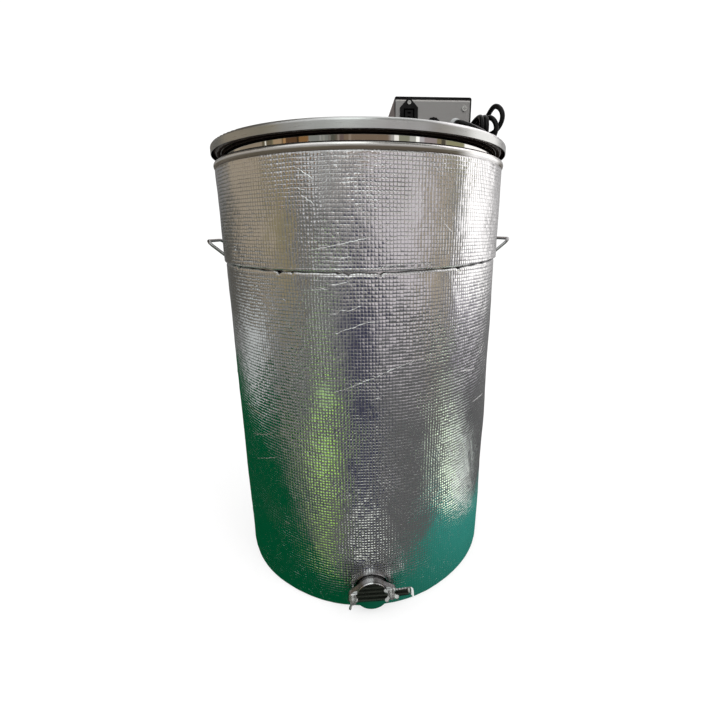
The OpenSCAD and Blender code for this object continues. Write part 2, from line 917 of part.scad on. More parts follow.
module gland_locknut() {
    color("lightgray") on_face(gland_x, gland_z) translate([0, 0, -case_t - locknut_t]) difference() {
        cylinder(h = locknut_t, d = gland_d, $fn = 6);
        translate([0, 0, -over]) cylinder(h = locknut_t + 2 * over, d = gland_thread_d + 2 * seat_gap);
    }
}

module earth_screw() {
    color("silver") on_face(case_w - earth_inset, case_h - earth_drop)
        cross_screw(earth_d, small_screw_l, earth_head_d, earth_head_t);
}

module earth_nut() {
    color("silver") on_face(case_w - earth_inset, case_h - earth_drop)
        translate([0, 0, -case_t - lid_nut_t]) difference() {
            cylinder(h = lid_nut_t, d = earth_nut_d, $fn = 6);
            translate([0, 0, -over]) cylinder(h = lid_nut_t + 2 * over, d = earth_d + 2 * seat_gap);
        }
}

// Regulator inside the case

module at_board() {
    at_case() translate([board_x, board_y, case_t + post_h]) children();
}

module regulator_board() {
    color("green") at_board() cube([board_w, board_l, board_t]);
}

module board_posts() {
    color("ivory") at_board()
        for (x = [post_inset, board_w - post_inset], y = [post_inset, board_l - post_inset])
            translate([x, y, -post_h]) cylinder(h = post_h, d = post_d);
}

module board_parts() {
    gap = (sink_w - sink_fins * fin_t) / (sink_fins - 1);
    color("slategray") at_board() translate([0, 0, board_t]) {
        translate([sink_x, sink_y, 0]) difference() {
            cube([sink_w, sink_l, sink_h]);
            for (i = [0:sink_fins - 2]) translate([fin_t + i * (fin_t + gap), -over, sink_base_t])
                cube([gap, sink_l + 2 * over, sink_h]);
        }
        translate([capacitor_x, capacitor_y, 0]) cylinder(h = capacitor_h, d = capacitor_d);
    }
}

module terminal_block() {
    pitch = block_w / block_ways;
    color("ivory") at_case() translate([block_x, block_y, case_t]) difference() {
        cube([block_w, block_l, block_h]);
        for (i = [0:block_ways - 1]) translate([(i + 0.5) * pitch, block_l / 2, block_h - block_screw_depth])
            cylinder(h = block_screw_depth + over, d = block_screw_d);
    }
}

// Mains cord

function unit(v) = v / norm(v);

// Direction of a path at one of its points
function heading(path, i) =
    let (last = len(path) - 1) unit(path[min(i + 1, last)] - path[max(i - 1, 0)]);

// Heading that stays with the end segments, so that an end face is square to its segment
function square_heading(path, i) =
    i <= 1 ? unit(path[1] - path[0]) :
    i >= len(path) - 2 ? unit(path[len(path) - 1] - path[len(path) - 2]) :
    heading(path, i);

// Ring of points about one point of a path
function ring_at(path, i, r, sides, across) =
    let (along = square_heading(path, i))
    let (side = unit(cross(across, along)))
    let (up = cross(along, side))
    [for (k = [0:sides - 1]) path[i] + r * (cos(360 * k / sides) * side + sin(360 * k / sides) * up)];

// A closed tube along a path, made of triangles
module tube(path, r, sides, across) {
    last = len(path) - 1;
    points = [for (i = [0:last]) each ring_at(path, i, r, sides, across)];
    walls = [
        for (i = [0:last - 1], k = [0:sides - 1])
            let (a = i * sides + k, b = i * sides + (k + 1) % sides)
            each [[a, b + sides, b], [a, a + sides, b + sides]]
    ];
    caps = [
        for (k = [1:sides - 2])
            each [[0, k, k + 1], [last * sides, last * sides + k + 1, last * sides + k]]
    ];
    polyhedron(points, concat(walls, caps));
}

// The hank's own axes: u along its runs, v upward, w across its loops
run_rise = fold_r - waist_r;
function ease(share) = (1 - cos(180 * share)) / 2;
function run_v(u) = waist_r + run_rise * ease(abs(u) / run_half);
function near_share(u) = ease(min(1, max(0, -u / run_half)));
raised = [0, loop_lift, loop_lean];
function fold_uv(side, turn) = [side * run_half + fold_r * cos(turn), fold_r * sin(turn)];

// Points of one loop: back along the lower run, up the far fold, home and down the near fold
function loop_points(i) =
    let (w = i * loop_pitch, lifted = i == hank_loops - 1 ? 1 : 0)
    let (bulge = i < hank_loops / 2 ? -left_bulge : right_bulge)
    concat(
        [for (k = [0:run_steps - 1]) let (u = run_l * k / run_steps - run_half) [u, -run_v(u), w]],
        [for (k = [0:fold_steps - 1]) concat(fold_uv(1, 180 * k / fold_steps - 90), w)],
        [for (k = [0:run_steps - 1]) let (u = run_half - run_l * k / run_steps)
            [u, run_v(u), w + loop_pitch * ease(k / run_steps)] + lifted * near_share(u) * raised],
        [for (k = [0:fold_steps - 1]) let (turn = 180 * k / fold_steps + 90)
            concat(fold_uv(-1, turn), w + loop_pitch + bulge * pow(cos(turn), 2)) + lifted * raised]
    );
function last_run() =
    [for (k = [0:run_steps]) let (u = run_l * k / run_steps - run_half)
        [u, -run_v(u), hank_loops * loop_pitch] + near_share(u) * raised];
hank_path = concat(
    [[-run_half - cord_d, -fold_r, 0]],
    [for (i = [0:hank_loops - 1]) each loop_points(i)],
    last_run(),
    [[run_half + cord_d, -fold_r, hank_loops * loop_pitch]]
);

// Where the cord's stretches start and how the hank lies
gland_nose = [case_x + gland_x, -case_front - gland_hex_t - seat_gap - gland_nut_l, lid_top + gland_z];
lead_last = len(lead_route) - 1;
lead_end = gland_nose + lead_route[lead_last];
lead_step = lead_route[lead_last] - lead_route[lead_last - 1];
hank_turn = atan2(-lead_step.x, lead_step.y);
u_axis = [-sin(hank_turn), cos(hank_turn), 0];
v_axis = [0, 0, 1];
w_axis = [cos(hank_turn), sin(hank_turn), 0];
function in_hank(p) = lead_end + (p[0] - hank_path[0][0]) * u_axis
    + (p[1] - hank_path[0][1]) * v_axis + p[2] * w_axis;
hank_points = [for (p = hank_path) in_hank(p)];
tail_start = hank_points[len(hank_points) - 1];
tail_end = tail_start + tail_route[len(tail_route) - 1];

// Least gap of the hank to itself, on points along its middle line
gap_parts = 3;
fine_path = [
    for (i = [0:len(hank_path) - 2], k = [0:gap_parts - 1])
        hank_path[i] + (hank_path[i + 1] - hank_path[i]) * k / gap_parts
];
near_points = gap_parts * fold_steps;
hank_gap = min([
    for (i = [0:len(fine_path) - near_points - 1])
        min([for (j = [i + near_points:len(fine_path) - 1]) norm(fine_path[i] - fine_path[j])])
]) - cord_d;
function path_length(path, i = 1) =
    i >= len(path) ? 0 : norm(path[i] - path[i - 1]) + path_length(path, i + 1);
echo(least_gap_in_hank = hank_gap);
echo(cord_lengths = [path_length(lead_route), path_length(hank_path), path_length(tail_route)]);

module cord_lead() {
    color([0.04, 0.04, 0.04]) translate(gland_nose) tube(lead_route, cord_d / 2, lead_sides, v_axis);
}

module cord_hank() {
    color([0.04, 0.04, 0.04]) tube(hank_points, cord_d / 2, hank_sides, w_axis);
}

module cord_tail() {
    color([0.04, 0.04, 0.04]) translate(tail_start) tube(tail_route, cord_d / 2, lead_sides, v_axis);
}

module cord_tie() {
    inner = [hank_loops * loop_pitch + cord_d + 2 * tie_gap, 2 * waist_r + cord_d + 2 * tie_gap];
    outer = [inner.x + 2 * tie_t, inner.y + 2 * tie_t];
    color([0.1, 0.1, 0.1]) translate(in_hank([-tie_w / 2, 0, hank_loops * loop_pitch / 2]))
        rotate([90, 0, hank_turn + 180]) linear_extrude(tie_w) difference() {
            round_rect(outer, tie_corner_r);
            round_rect(inner, tie_corner_r - tie_t);
        }
}

// The plug lies on the lid with its pins toward -X
module at_plug() {
    translate(tail_end) rotate([0, -90, 0]) children();
}

module plug_body() {
    color([0.06, 0.06, 0.06]) at_plug() difference() {
        union() {
            cylinder(h = plug_neck_l, d1 = plug_neck_d, d2 = plug_neck_d + plug_edge_r);
            translate([0, 0, plug_neck_l])
                cylinder(h = plug_shoulder_l, d1 = plug_neck_d + plug_edge_r, d2 = plug_d);
            translate([0, 0, plug_neck_l + plug_shoulder_l])
                cylinder(h = plug_l - plug_shoulder_l, d = plug_d);
        }
        for (side = [-1, 1]) translate([0, side * pin_pitch / 2, plug_neck_l + plug_l - pin_l / 2])
            cylinder(h = pin_l, d = pin_d + 2 * seat_gap);
        for (side = [-1, 1])
            translate([side * (plug_d / 2 - earth_slot_depth / 2), 0, plug_neck_l + plug_l / 2 + over])
                cube([earth_slot_depth + over, earth_slot_w, plug_l], center = true);
    }
}

module plug_pins() {
    color("silver") at_plug() for (side = [-1, 1])
        translate([0, side * pin_pitch / 2, plug_neck_l + plug_l - pin_l / 2 + seat_gap])
            cylinder(h = pin_l + pin_l / 2, d = pin_d);
}

tank_wall();
tank_floor();
base_plate();
base_pad();
heating_mat();
lead_grommet();
insulation_lower();
insulation_upper();
left_handle();
right_handle();
outlet_stub();
gate_body();
gate_seal();
gate_plate();
pivot_bolt();
clamp_bolt();
gate_washers();
pivot_wing_nut();
clamp_wing_nut();
lid_panel();
lid_grip();
controller_case();
controller_cover();
cover_screws();
case_bolts();
case_nuts();
outlet_socket();
outlet_screws();
heat_control();
control_nut();
control_shaft();
control_knob();
gland_body();
gland_nut();
gland_locknut();
earth_screw();
earth_nut();
regulator_board();
board_posts();
board_parts();
terminal_block();
cord_lead();
cord_hank();
cord_tail();
cord_tie();
plug_body();
plug_pins();
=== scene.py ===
"""Looks of the heated honey settling tank: foil bands, steels, controller and cord."""

import math

import bpy
import numpy as np
from mathutils import Matrix, Vector


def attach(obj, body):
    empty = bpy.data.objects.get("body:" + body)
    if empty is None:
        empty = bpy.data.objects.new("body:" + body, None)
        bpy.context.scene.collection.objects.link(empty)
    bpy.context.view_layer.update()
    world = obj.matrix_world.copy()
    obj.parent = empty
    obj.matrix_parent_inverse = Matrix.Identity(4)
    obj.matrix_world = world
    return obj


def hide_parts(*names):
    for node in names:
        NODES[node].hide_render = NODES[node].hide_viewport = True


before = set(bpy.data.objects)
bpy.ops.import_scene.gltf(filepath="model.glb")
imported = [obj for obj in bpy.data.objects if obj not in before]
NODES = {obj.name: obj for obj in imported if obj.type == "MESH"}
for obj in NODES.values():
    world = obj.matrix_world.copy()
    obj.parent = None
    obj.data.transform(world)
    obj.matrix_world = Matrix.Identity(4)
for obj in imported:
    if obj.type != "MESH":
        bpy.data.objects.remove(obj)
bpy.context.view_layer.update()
RNG = np.random.default_rng(11)
MM = 0.001

# Sizes of the part that the new pieces are built to, in millimetres
WALL_R = 251
LOWER_R, LOWER_Z = 261, (1, 597)
UPPER_R, UPPER_Z = 263.5, (598.5, 755.7)
GATE_Z, GATE_HOLE_R = 39, 31
HANDLE_Y, HANDLE_FOOT_Z = 45, 612
LID_R, LID_UNDER = 267.8, 793.8
# Where a second finish or painted light starts on a part, and where it is full. Painted shade lies on the
# roll,
# under the bead and inside the lid's top and skin; painted highlights on the bead's lit stretch and the
# case's fold.
NECK_Z, TANK_INSIDE_R = (767.2, 769), (250.6, 250.2)
ROLL_Z, ROLL_R = (780.2, 781), (251.4, 251.8)
BEAD_Z, BEAD_R = (764, 760), (251.5, 253.5)
BEAD_LIT_X, BEAD_DIM_X = (125, 165), (232, 208)
LID_TOP_Z, LID_SKIN_R = (LID_UNDER - 0.2, LID_UNDER), (LID_R - 0.9, LID_R - 0.5)
FOAM_R, LEVER_END_X, CASE_FOLD_HIGHLIGHT_Z = (257.8, 256.5), (67, 68.4), (848, 849)


# Node graphs

# The span that a noise mostly keeps to, and how far off a surface shelters a point, in metres
NOISE_SPAN = (0.3, 0.7)
SHELTER_REACH, SHELTER_SAMPLES = 0.03, 6


class Graph:
    """A node tree under construction."""

    def __init__(self, tree):
        self.tree = tree

    def add(self, kind, inputs=None, **settings):
        node = self.tree.nodes.new("ShaderNode" + kind)
        for name, value in settings.items():
            setattr(node, name, value)
        for name, value in (inputs or {}).items():
            self.put(node.inputs[name], value)
        return node

    def put(self, socket, value):
        if isinstance(value, bpy.types.NodeSocket):
            self.tree.links.new(value, socket)
        else:
            socket.default_value = value

    def math(self, operation, *values, clamp=False):
        node = self.add("Math", operation=operation, use_clamp=clamp)
        for i, value in enumerate(values):
            self.put(node.inputs[i], value)
        return node.outputs[0]

    def plus(self, a, b):
        return self.math("ADD", a, b)

    def minus(self, a, b):
        return self.math("SUBTRACT", a, b)

    def times(self, a, b):
        return self.math("MULTIPLY", a, b)

    def shifted(self, start, value, factor):
        """A start value, moved by a factor times another value."""
        return self.math("MULTIPLY_ADD", value, factor, start)

    def off_axis(self, x, y):
        return self.math("SQRT", self.plus(self.times(x, x), self.times(y, y)))

    def remap(self, value, low, high, to_low=0.0, to_high=1.0, smooth=False):
        kind = "SMOOTHSTEP" if smooth else "LINEAR"
        node = self.add("MapRange", {
            "Value": value, "From Min": low, "From Max": high, "To Min": to_low, "To Max": to_high,
        }, interpolation_type=kind)
        return node.outputs["Result"]

    def mix(self, share, a, b):
        node = self.add("Mix", data_type="RGBA")
        for name, value in ((0, share), (6, a), (7, b)):
            self.put(node.inputs[name], value)
        return node.outputs[2]

    def noise(self, vector, scale, detail=3.0, rough=0.55):
        node = self.add("TexNoise", {
            "Vector": vector, "Scale": scale, "Detail": detail, "Roughness": rough,
        })
        return node.outputs["Fac"]

    def stretched_noise(self, vector, scales, detail=3.0, rough=0.6):
        mapped = self.add("Mapping", {"Vector": vector, "Scale": scales}).outputs[0]
        return self.noise(mapped, 1.0, detail, rough)

    def split(self, vector):
        return self.add("SeparateXYZ", {0: vector}).outputs

    def join(self, x, y, z):
        return self.add("CombineXYZ", {0: x, 1: y, 2: z}).outputs[0]


class Paint(Graph):
    """A material with one Principled shader."""

    def __init__(self, name, **values):
        self.material = bpy.data.materials.new(name)
        self.material.use_nodes = True
        super().__init__(self.material.node_tree)
        self.shader = self.tree.nodes["Principled BSDF"]
        for label, value in values.items():
            self.set(label.replace("_", " "), value)

    def set(self, label, value):
        self.put(self.shader.inputs[label], value)

    def place(self):
        return self.add("TexCoord").outputs["Object"]

    def passing(self, value, reach, smooth=False):
        """0 to 1 as a place passes a reach given in millimetres."""
        return self.remap(value, reach[0] * MM, reach[1] * MM, smooth=smooth)

    def from_noise(self, noise, low, high):
        return self.remap(noise, *NOISE_SPAN, low, high)

    def openness(self, low, high):
        """0 where other surfaces stand close round a point, 1 where it is open to the light."""
        node = self.add("AmbientOcclusion", {"Distance": SHELTER_REACH}, samples=SHELTER_SAMPLES)
        return self.remap(node.outputs["AO"], low, high, smooth=True)

    def bump(self, height, distance, strength=1.0):
        node = self.add("Bump", {"Height": height, "Distance": distance, "Strength": strength})
        self.set("Normal", node.outputs[0])


def grey(level):
    return (level, level, level, 1.0)


def new_piece(name, verts, faces):
    """An object from points in metres and faces, linked to the scene."""
    mesh = bpy.data.meshes.new(name)
    mesh.from_pydata(verts, [], faces)
    mesh.update()
    piece = bpy.data.objects.new(name, mesh)
    bpy.context.scene.collection.objects.link(piece)
    return piece


# Camera, fitted to the photograph: angles in degrees, place in metres

CAMERA_YAW, CAMERA_PITCH, CAMERA_ROLL = 3.88, 15.0, -0.424
CAMERA_PLACE = (-0.0253, -0.8056, 0.6543)
CAMERA_LENS, CAMERA_SENSOR_W, CAMERA_NEAR = 19.505, 36, 0.01
CAMERA_SHIFT_X, CAMERA_SHIFT_Y = -0.0303, -0.0298


def make_camera():
    yaw, pitch, roll = (math.radians(a) for a in (CAMERA_YAW, CAMERA_PITCH, CAMERA_ROLL))
    ahead = Vector((math.sin(yaw) * math.cos(pitch), math.cos(yaw) * math.cos(pitch), -math.sin(pitch)))
    level = Vector((math.cos(yaw), -math.sin(yaw), 0))
    over = level.cross(ahead)
    right = math.cos(roll) * level + math.sin(roll) * over
    up = -math.sin(roll) * level + math.cos(roll) * over
    data = bpy.data.cameras.new("camera")
    data.sensor_width = CAMERA_SENSOR_W
    data.lens = CAMERA_LENS
    data.shift_x = CAMERA_SHIFT_X
    data.shift_y = CAMERA_SHIFT_Y
    data.clip_start = CAMERA_NEAR
    camera = bpy.data.objects.new("camera", data)
    turn = Matrix((right, up, -ahead)).transposed().to_4x4()
    camera.matrix_world = Matrix.Translation(CAMERA_PLACE) @ turn
    bpy.context.scene.collection.objects.link(camera)
    bpy.context.scene.camera = camera


make_camera()


# Mains cord: the same route as the solids, with finer steps

CORD_D, CORD_SIDES = 8.2, 14
LOOPS, FOLD_R, RUN_L, LOOP_PITCH = 4, 20.5, 107.0, 8.7
RUN_STEPS, FOLD_STEPS, CURVE_STEPS = 14, 10, 4
RAISED = np.array([0, 18, 1.5])
LEFT_BULGE, RIGHT_BULGE = 3.5, 5.5
WAIST_R = 0.6 * CORD_D
GLAND_NOSE = np.array([144.5, -158.1, 813.4])
LEAD = [
    (0, 0, 0), (0, -4, 0), (1.2, -8.6, -1), (5, -13.4, -2.8), (12, -17, -6), (21, -18, -9.5), (30, -15, -12),
    (38.5, -9, -13.4), (45.5, 0, -13.9), (49.8, 11, -13.9), (52, 23, -13.9), (52.8, 36, -13.9),
    (52, 49, -13.9), (50, 62, -13.9),
]
TAIL = [
    (0, 0, 0), (-1.5, 7, 0), (-6, 21, 0), (-14, 34, 0), (-25, 45, 0.5), (-39, 52, 3), (-54, 55, 6.8),
    (-69, 56, 10.5), (-83, 56, 13.3), (-91, 56, 13.3),
]


def ease(share):
    return (1 - math.cos(math.pi * share)) / 2


def hank_points():
    """The tied hank: runs with a waist, joined by round folds, the last loop raised."""
    half = RUN_L / 2

    def run_v(u):
        return WAIST_R + (FOLD_R - WAIST_R) * ease(abs(u) / half)

    def near_share(u):
        return ease(min(1, max(0, -u / half)))

    points = [(-half - CORD_D, -FOLD_R, 0)]
    for i in range(LOOPS):
        w, lifted = i * LOOP_PITCH, float(i == LOOPS - 1)
        bulge = -LEFT_BULGE if i < LOOPS / 2 else RIGHT_BULGE
        for k in range(RUN_STEPS):
            u = RUN_L * k / RUN_STEPS - half
            points.append((u, -run_v(u), w))
        for k in range(FOLD_STEPS):
            turn = math.pi * (k / FOLD_STEPS - 0.5)
            points.append((half + FOLD_R * math.cos(turn), FOLD_R * math.sin(turn), w))
        for k in range(RUN_STEPS):
            u = half - RUN_L * k / RUN_STEPS
            place = np.array([u, run_v(u), w + LOOP_PITCH * ease(k / RUN_STEPS)])
            points.append(place + lifted * near_share(u) * RAISED)
        for k in range(FOLD_STEPS):
            turn = math.pi * (k / FOLD_STEPS + 0.5)
            across = w + LOOP_PITCH + bulge * math.cos(turn)**2
            place = np.array([-half + FOLD_R * math.cos(turn), FOLD_R * math.sin(turn), across])
            points.append(place + lifted * RAISED)
    for k in range(RUN_STEPS + 1):
        u = RUN_L * k / RUN_STEPS - half
        points.append(np.array([u, -run_v(u), LOOPS * LOOP_PITCH]) + near_share(u) * RAISED)
    points.append((half + CORD_D, -FOLD_R, LOOPS * LOOP_PITCH))
    return points


def cord_route():
    """The lead from the gland, the hank and the tail in one row of points."""
    lead = [GLAND_NOSE + p for p in np.array(LEAD, float)]
    step = lead[-1] - lead[-2]
    turn = math.atan2(-step[0], step[1])
    along = np.array([-math.sin(turn), math.cos(turn), 0])
    across = np.array([math.cos(turn), math.sin(turn), 0])
    up = np.array([0, 0, 1.0])
    local = hank_points()
    first = local[0]
    hank = [lead[-1] + (u - first[0]) * along + (v - first[1]) * up + w * across for u, v, w in local]
    tail = [hank[-1] + p for p in np.array(TAIL, float)]
    return np.array(lead + hank[1:] + tail[1:])


def smooth_line(points):
    """Points on a curve through all the given ones."""
    ends = np.vstack([2 * points[0] - points[1], points, 2 * points[-1] - points[-2]])
    a, b, c, d = ends[:-3], ends[1:-2], ends[2:-1], ends[3:]
    square, cube = 2 * a - 5 * b + 4 * c - d, 3 * b - a - 3 * c + d
    steps = [0.5 * (2 * b + (c - a) * t + square * t**2 + cube * t**3)
             for t in np.arange(CURVE_STEPS) / CURVE_STEPS]
    line = np.stack(steps, 1).reshape(-1, 3)
    return np.vstack([line, points[-1]])


def tube(name, line, radius, sides):
    """A closed tube along a line, with its rings carried on from one point to the next."""
    way = np.gradient(line, axis=0)
    way /= np.linalg.norm(way, axis=1)[:, None]
    side = np.cross(way[0], (0, 0, 1.0))
    turns = 2 * math.pi * np.arange(sides) / sides
    verts = []
    for place, ahead in zip(line, way):
        side = side - ahead * (side @ ahead)
        side = side / np.linalg.norm(side)
        over = np.cross(ahead, side)
        verts.append(place + radius * (np.outer(np.cos(turns), side) + np.outer(np.sin(turns), over)))
    faces = []
    for i in range(len(line) - 1):
        a, b = i * sides, (i + 1) * sides
        faces += [(a + k, a + (k + 1) % sides, b + (k + 1) % sides, b + k) for k in range(sides)]
    last = (len(line) - 1) * sides
    caps = [tuple(reversed(range(sides))), tuple(range(last, last + sides))]
    piece = new_piece(name, np.vstack(verts).tolist(), faces + caps)
    piece.data.polygons.foreach_set("use_smooth", [True] * len(faces) + [False] * len(caps))
    piece.data.update()
    return piece


def make_cord():
    line = smooth_line(cord_route()) * MM
    cord = tube("mains_cord", line, CORD_D / 2 * MM, CORD_SIDES)
    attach(cord, "lid")
    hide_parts("cord_lead", "cord_hank", "cord_tail")
    return cord


cord = make_cord()


# Foil-faced insulation, in millimetres; angles are in degrees from the front

# Creases seen in the photograph, as (angle, height)
UPPER_CREASES = [
    [(-18.6, 627), (-12.9, 632), (-7.7, 637), (-2.2, 642), (1.1, 646)],
    [(-21.0, 737), (-18.1, 729), (-15.7, 722)],
    [(-19.7, 702), (-15.5, 689)],
    [(-21.1, 711), (-17.9, 707)],
    [(-8.7, 616), (-5.3, 620)],
    [(1.2, 602), (11.0, 609), (20.0, 609)],
    [(18.0, 604), (22.1, 611)],
    [(24.8, 664), (28.7, 650)],
]
LOWER_CREASES = [
    [(-18.4, 573), (-12.5, 574)],
    [(-12.1, 579), (-9.4, 581), (-5.9, 585)],
    [(-12.2, 538), (-10.2, 538), (-9.0, 543), (-5.8, 543), (-1.5, 551)],
    [(-11.9, 508), (-9.8, 509), (-8.3, 513), (-5.1, 517), (-0.6, 525), (4.3, 526)],
    [(-12.9, 414), (-6.8, 423), (-1.4, 434), (1.3, 438), (7.3, 450), (12.3, 457), (18.2, 463), (24.0, 468)],
    [(49.0, 472), (54.6, 458), (50.9, 441)],
    [(46.9, 354), (58.0, 352)],
    [(35.4, 426), (47.4, 417)],
    [(1.2, 403), (3.9, 406)],
    [(-29.0, 557), (-27.6, 554)],
    [(-56.3, 350), (-45.6, 348), (-43.6, 336)],
    [(-53.5, 296), (-43.8, 311), (-38.7, 321)],
    [(-52.3, 247), (-37.2, 278)],
    [(-36.0, 148), (-33.4, 147)],
    [(-8.5, 159), (-5.8, 171), (-1.8, 181)],
    [(-8.5, 115), (-4.0, 129)],
]
# Random creases on the sides and back: how many, where they start, and their steps in degrees
LOWER_RANDOM, UPPER_RANDOM = 60, 22
RANDOM_ANGLES, RANDOM_START_INSET, RANDOM_INSET = (62, 298), 15, 8
RANDOM_STEPS, RANDOM_STEP = (1, 5), (2, 4.5)
# Rise of one as a share of its run and how it varies, length of a degree, and a span wider than any crease
RANDOM_LEAN, RANDOM_SWAY, DEGREE_L, RANDOM_SPAN = (-0.5, 0.6), (-0.2, 0.2), 4.5, 90
# A crease's ridge: its steps and their shake, height, lift off the foil, fade toward its ends, and profile
# as (aside, share of height)
CREASE_STEP, CREASE_LEAST_STEPS, CREASE_SHAKE = 2.4, 3, 0.42
CREASE_H, CREASE_LIFT = (0.20, 0.48), 0.06
CREASE_FADE, CREASE_END_SHARE = 5, 0.15
CREASE_PROFILE = ((-0.35, 0.0), (0.0, 1.0), (0.8, 0.0))
# Random reliefs: number of waves, turns round the drum, height of a wave, and reach; LEVEL has no height
LEVEL = 9e9
SWELL, RIPPLE = (26, (2, 12), 260, 0.55), (40, (24, 80), 70, 0.10)
LOWER_RAGGED, UPPER_RAGGED = (30, (8, 60), LEVEL, 0.35), (24, (5, 40), LEVEL, 0.35)
# A band's grid: columns, rows close together near its edges, and the gap to the wall inside
COLUMNS, EDGE_H, EDGE_STEP, ROW_STEP, WALL_GAP = 541, 9, 0.9, 3.6, 0.4
# How far the hand-cut seam rises above its level by angle, and the height over which a band takes that up
SEAM_RISE = [(-180, 5), (-90, 5), (-60, 3.5), (-30, 1), (0, 0), (30, 2), (60, 6.5), (90, 7), (180, 5)]
RISE_H = 70
# Nicks in the hand-cut top edge of the lower band: their angles, depth and half width in degrees
EDGE_NICKS = [-52, -30, -24.8, -9.1, -6.1, 4.1, 33, 71, 96, 118, 143, 171, -78, -101, -127, -155]
NICK_DEPTH, NICK_HALF = (2.6, 4.4), (0.35, 0.8)
LOWER_SET_BACK = 0.5
# Edges as (depth, height): rounded at the top, foot and hem, leaning back under the seam
TOP_ROUND, FOOT_ROUND, HEM_ROUND, TOP_LEAN = (0.8, 1), (0.8, 1.2), (1.2, 1.6), (1.1, 16)
# Ridges along the edges as (height, distance from the edge, half width)
TOP_RIDGE, HEM_FOLD = (0.5, 4.5, 2.5), (0.2, 5.2, 1.6)
# The hem's fold swings round the drum: its mean share, the swing, and how many times
FOLD_MEAN, FOLD_SWING, FOLD_TURNS = 0.55, 0.45, 3
# The cut above the gate: its angle, top, fade, and the height and width of its proud and sunk lips
CUT_ANGLE, CUT_TOP, CUT_FADE, PROUD_LIP, SUNK_LIP = 0.2, 134, 25, (0.45, 9), (0.35, 6)
# Round the gate's hole: half the front in radians, slack at the edge, and the foil's lift as (height, half
# width)
FRONT_HALF, HOLE_SLACK, HOLE_LIFT = 0.3, 1, (0.2, 22.36)
# Round a handle's foot: the dent as (depth, half width), the ring as (height, radius, half width)
FOOT_DENT, FOOT_RING = (3.0, 11), (0.7, 19, 6)
# A dent by the left handle: angle, height, length of a degree, depth and half width
DENT_ANGLE, DENT_Z, DENT_DEGREE_L, DENT_DEPTH, DENT_HALF = -50.9, 623, 4.58, 1.3, 7
# Joint tape at the back: its angles, columns and row height, its thickness and that of its edges, its ripple
TAPE_ANGLES, TAPE_COLUMNS, TAPE_ROW_H = (174.6, 185.4), 19, 6
TAPE_T, TAPE_EDGE_T = 0.9, 0.1
TAPE_RIPPLE, TAPE_WAVE_H, TAPE_WAVE_TURNS = 0.12, 23, 40
LOWER_TAPE_Z = (LOWER_Z[0] + 4, LOWER_Z[1] - 5)
UPPER_TAPE_Z = (UPPER_Z[0] + 12, UPPER_Z[1] - 4)


def on_drum(angle, r, z):
    """Points round the tank's axis."""
    return np.stack([r * np.sin(angle), -r * np.cos(angle), z], -1)


def grid_quads(height, width):
    """Corners of the quads of a grid whose points are counted row by row."""
    index = np.arange(height * width).reshape(height, width)
    return np.stack([index[:-1, :-1], index[:-1, 1:], index[1:, 1:], index[1:, :-1]], -1)


def near_angle(angle, degrees):
    """Degrees past a given angle, from -180 to 180."""
    return (np.degrees(angle) - degrees + 180) % 360 - 180


def ramp(way, length):
    """0 at the start of a length, 1 from its end on."""
    return np.clip(way / length, 0, 1)


def hump(aside, half_width):
    """1 in the middle, falling softly to 0 on both sides."""
    return np.exp(-(aside / half_width)**2)


def rounding(inward, depth, height):
    """How far a rounded edge has fallen back at a distance inward from it."""
    fallen = np.clip(1 - inward / height, 0, 1)
    return depth * (1 - np.sqrt(np.maximum(0, 1 - fallen**2)))


def random_creases(count, low, high):
    """Short creases round the sides and back, where the photograph shows none, clear of the joint."""
    found = []
    for _ in range(count):
        angle = RNG.uniform(*RANDOM_ANGLES)
        z = RNG.uniform(low + RANDOM_START_INSET, high - RANDOM_START_INSET)
        points = [(angle, z)]
        lean = RNG.uniform(*RANDOM_LEAN)
        for _ in range(RNG.integers(*RANDOM_STEPS)):
            step = RNG.uniform(*RANDOM_STEP)
            angle, z = angle + step, z + step * DEGREE_L * (lean + RNG.uniform(*RANDOM_SWAY))
            points.append((angle, min(high - RANDOM_INSET, max(low + RANDOM_INSET, z))))
        found.append([((a + 180) % 360 - 180, z) for a, z in points])
    return [c for c in found if max(a for a, _ in c) - min(a for a, _ in c) < RANDOM_SPAN]


def waves(angle, z, count, turns, height, reach):
    """A smooth random relief that closes on itself round the drum."""
    total = np.zeros_like(z)
    for _ in range(count):
        around = RNG.integers(*turns)
        upward = RNG.normal(0, 2 * math.pi / height)
        total += RNG.normal() * np.cos(around * angle + upward * z + RNG.uniform(0, 2 * math.pi))
    return reach * total / math.sqrt(count / 2)


def crease_strips(name, lines, surface, radius):
    """Sharp folds in the foil, as thin ridges that follow a band's surface."""
    verts, faces = [], []
    for line in lines:
        knots = np.array(sorted(line))
        knots[:, 0] = np.radians(knots[:, 0]) * radius
        run = np.concatenate([[0], np.cumsum(np.linalg.norm(np.diff(knots, axis=0), axis=1))])
        steps = max(CREASE_LEAST_STEPS, int(run[-1] / CREASE_STEP))
        share = np.linspace(0, 1, steps + 1)
        path = np.stack([np.interp(share * run[-1], run, knots[:, k]) for k in (0, 1)], -1)
        path += RNG.normal(0, CREASE_SHAKE, path.shape)
        way = np.gradient(path, axis=0)
        way /= np.linalg.norm(way, axis=1)[:, None]
        over = np.stack([-way[:, 1], way[:, 0]], -1)
        fade = np.minimum(1, CREASE_FADE * np.minimum(share, 1 - share) + CREASE_END_SHARE)
        tall = RNG.uniform(*CREASE_H, steps + 1) * fade
        first = len(verts)
        for aside, lift in CREASE_PROFILE:
            side = path + over * (aside * fade)[:, None]
            angle = side[:, 0] / radius
            r = surface(angle, side[:, 1]) + CREASE_LIFT + lift * tall
            verts += on_drum(angle, r, side[:, 1]).tolist()
        strip = first + grid_quads(len(CREASE_PROFILE), steps + 1)
        faces += strip.reshape(-1, 4).tolist()
    piece = new_piece(name, (np.array(verts) * MM).tolist(), faces)
    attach(piece, "tank")
    return piece


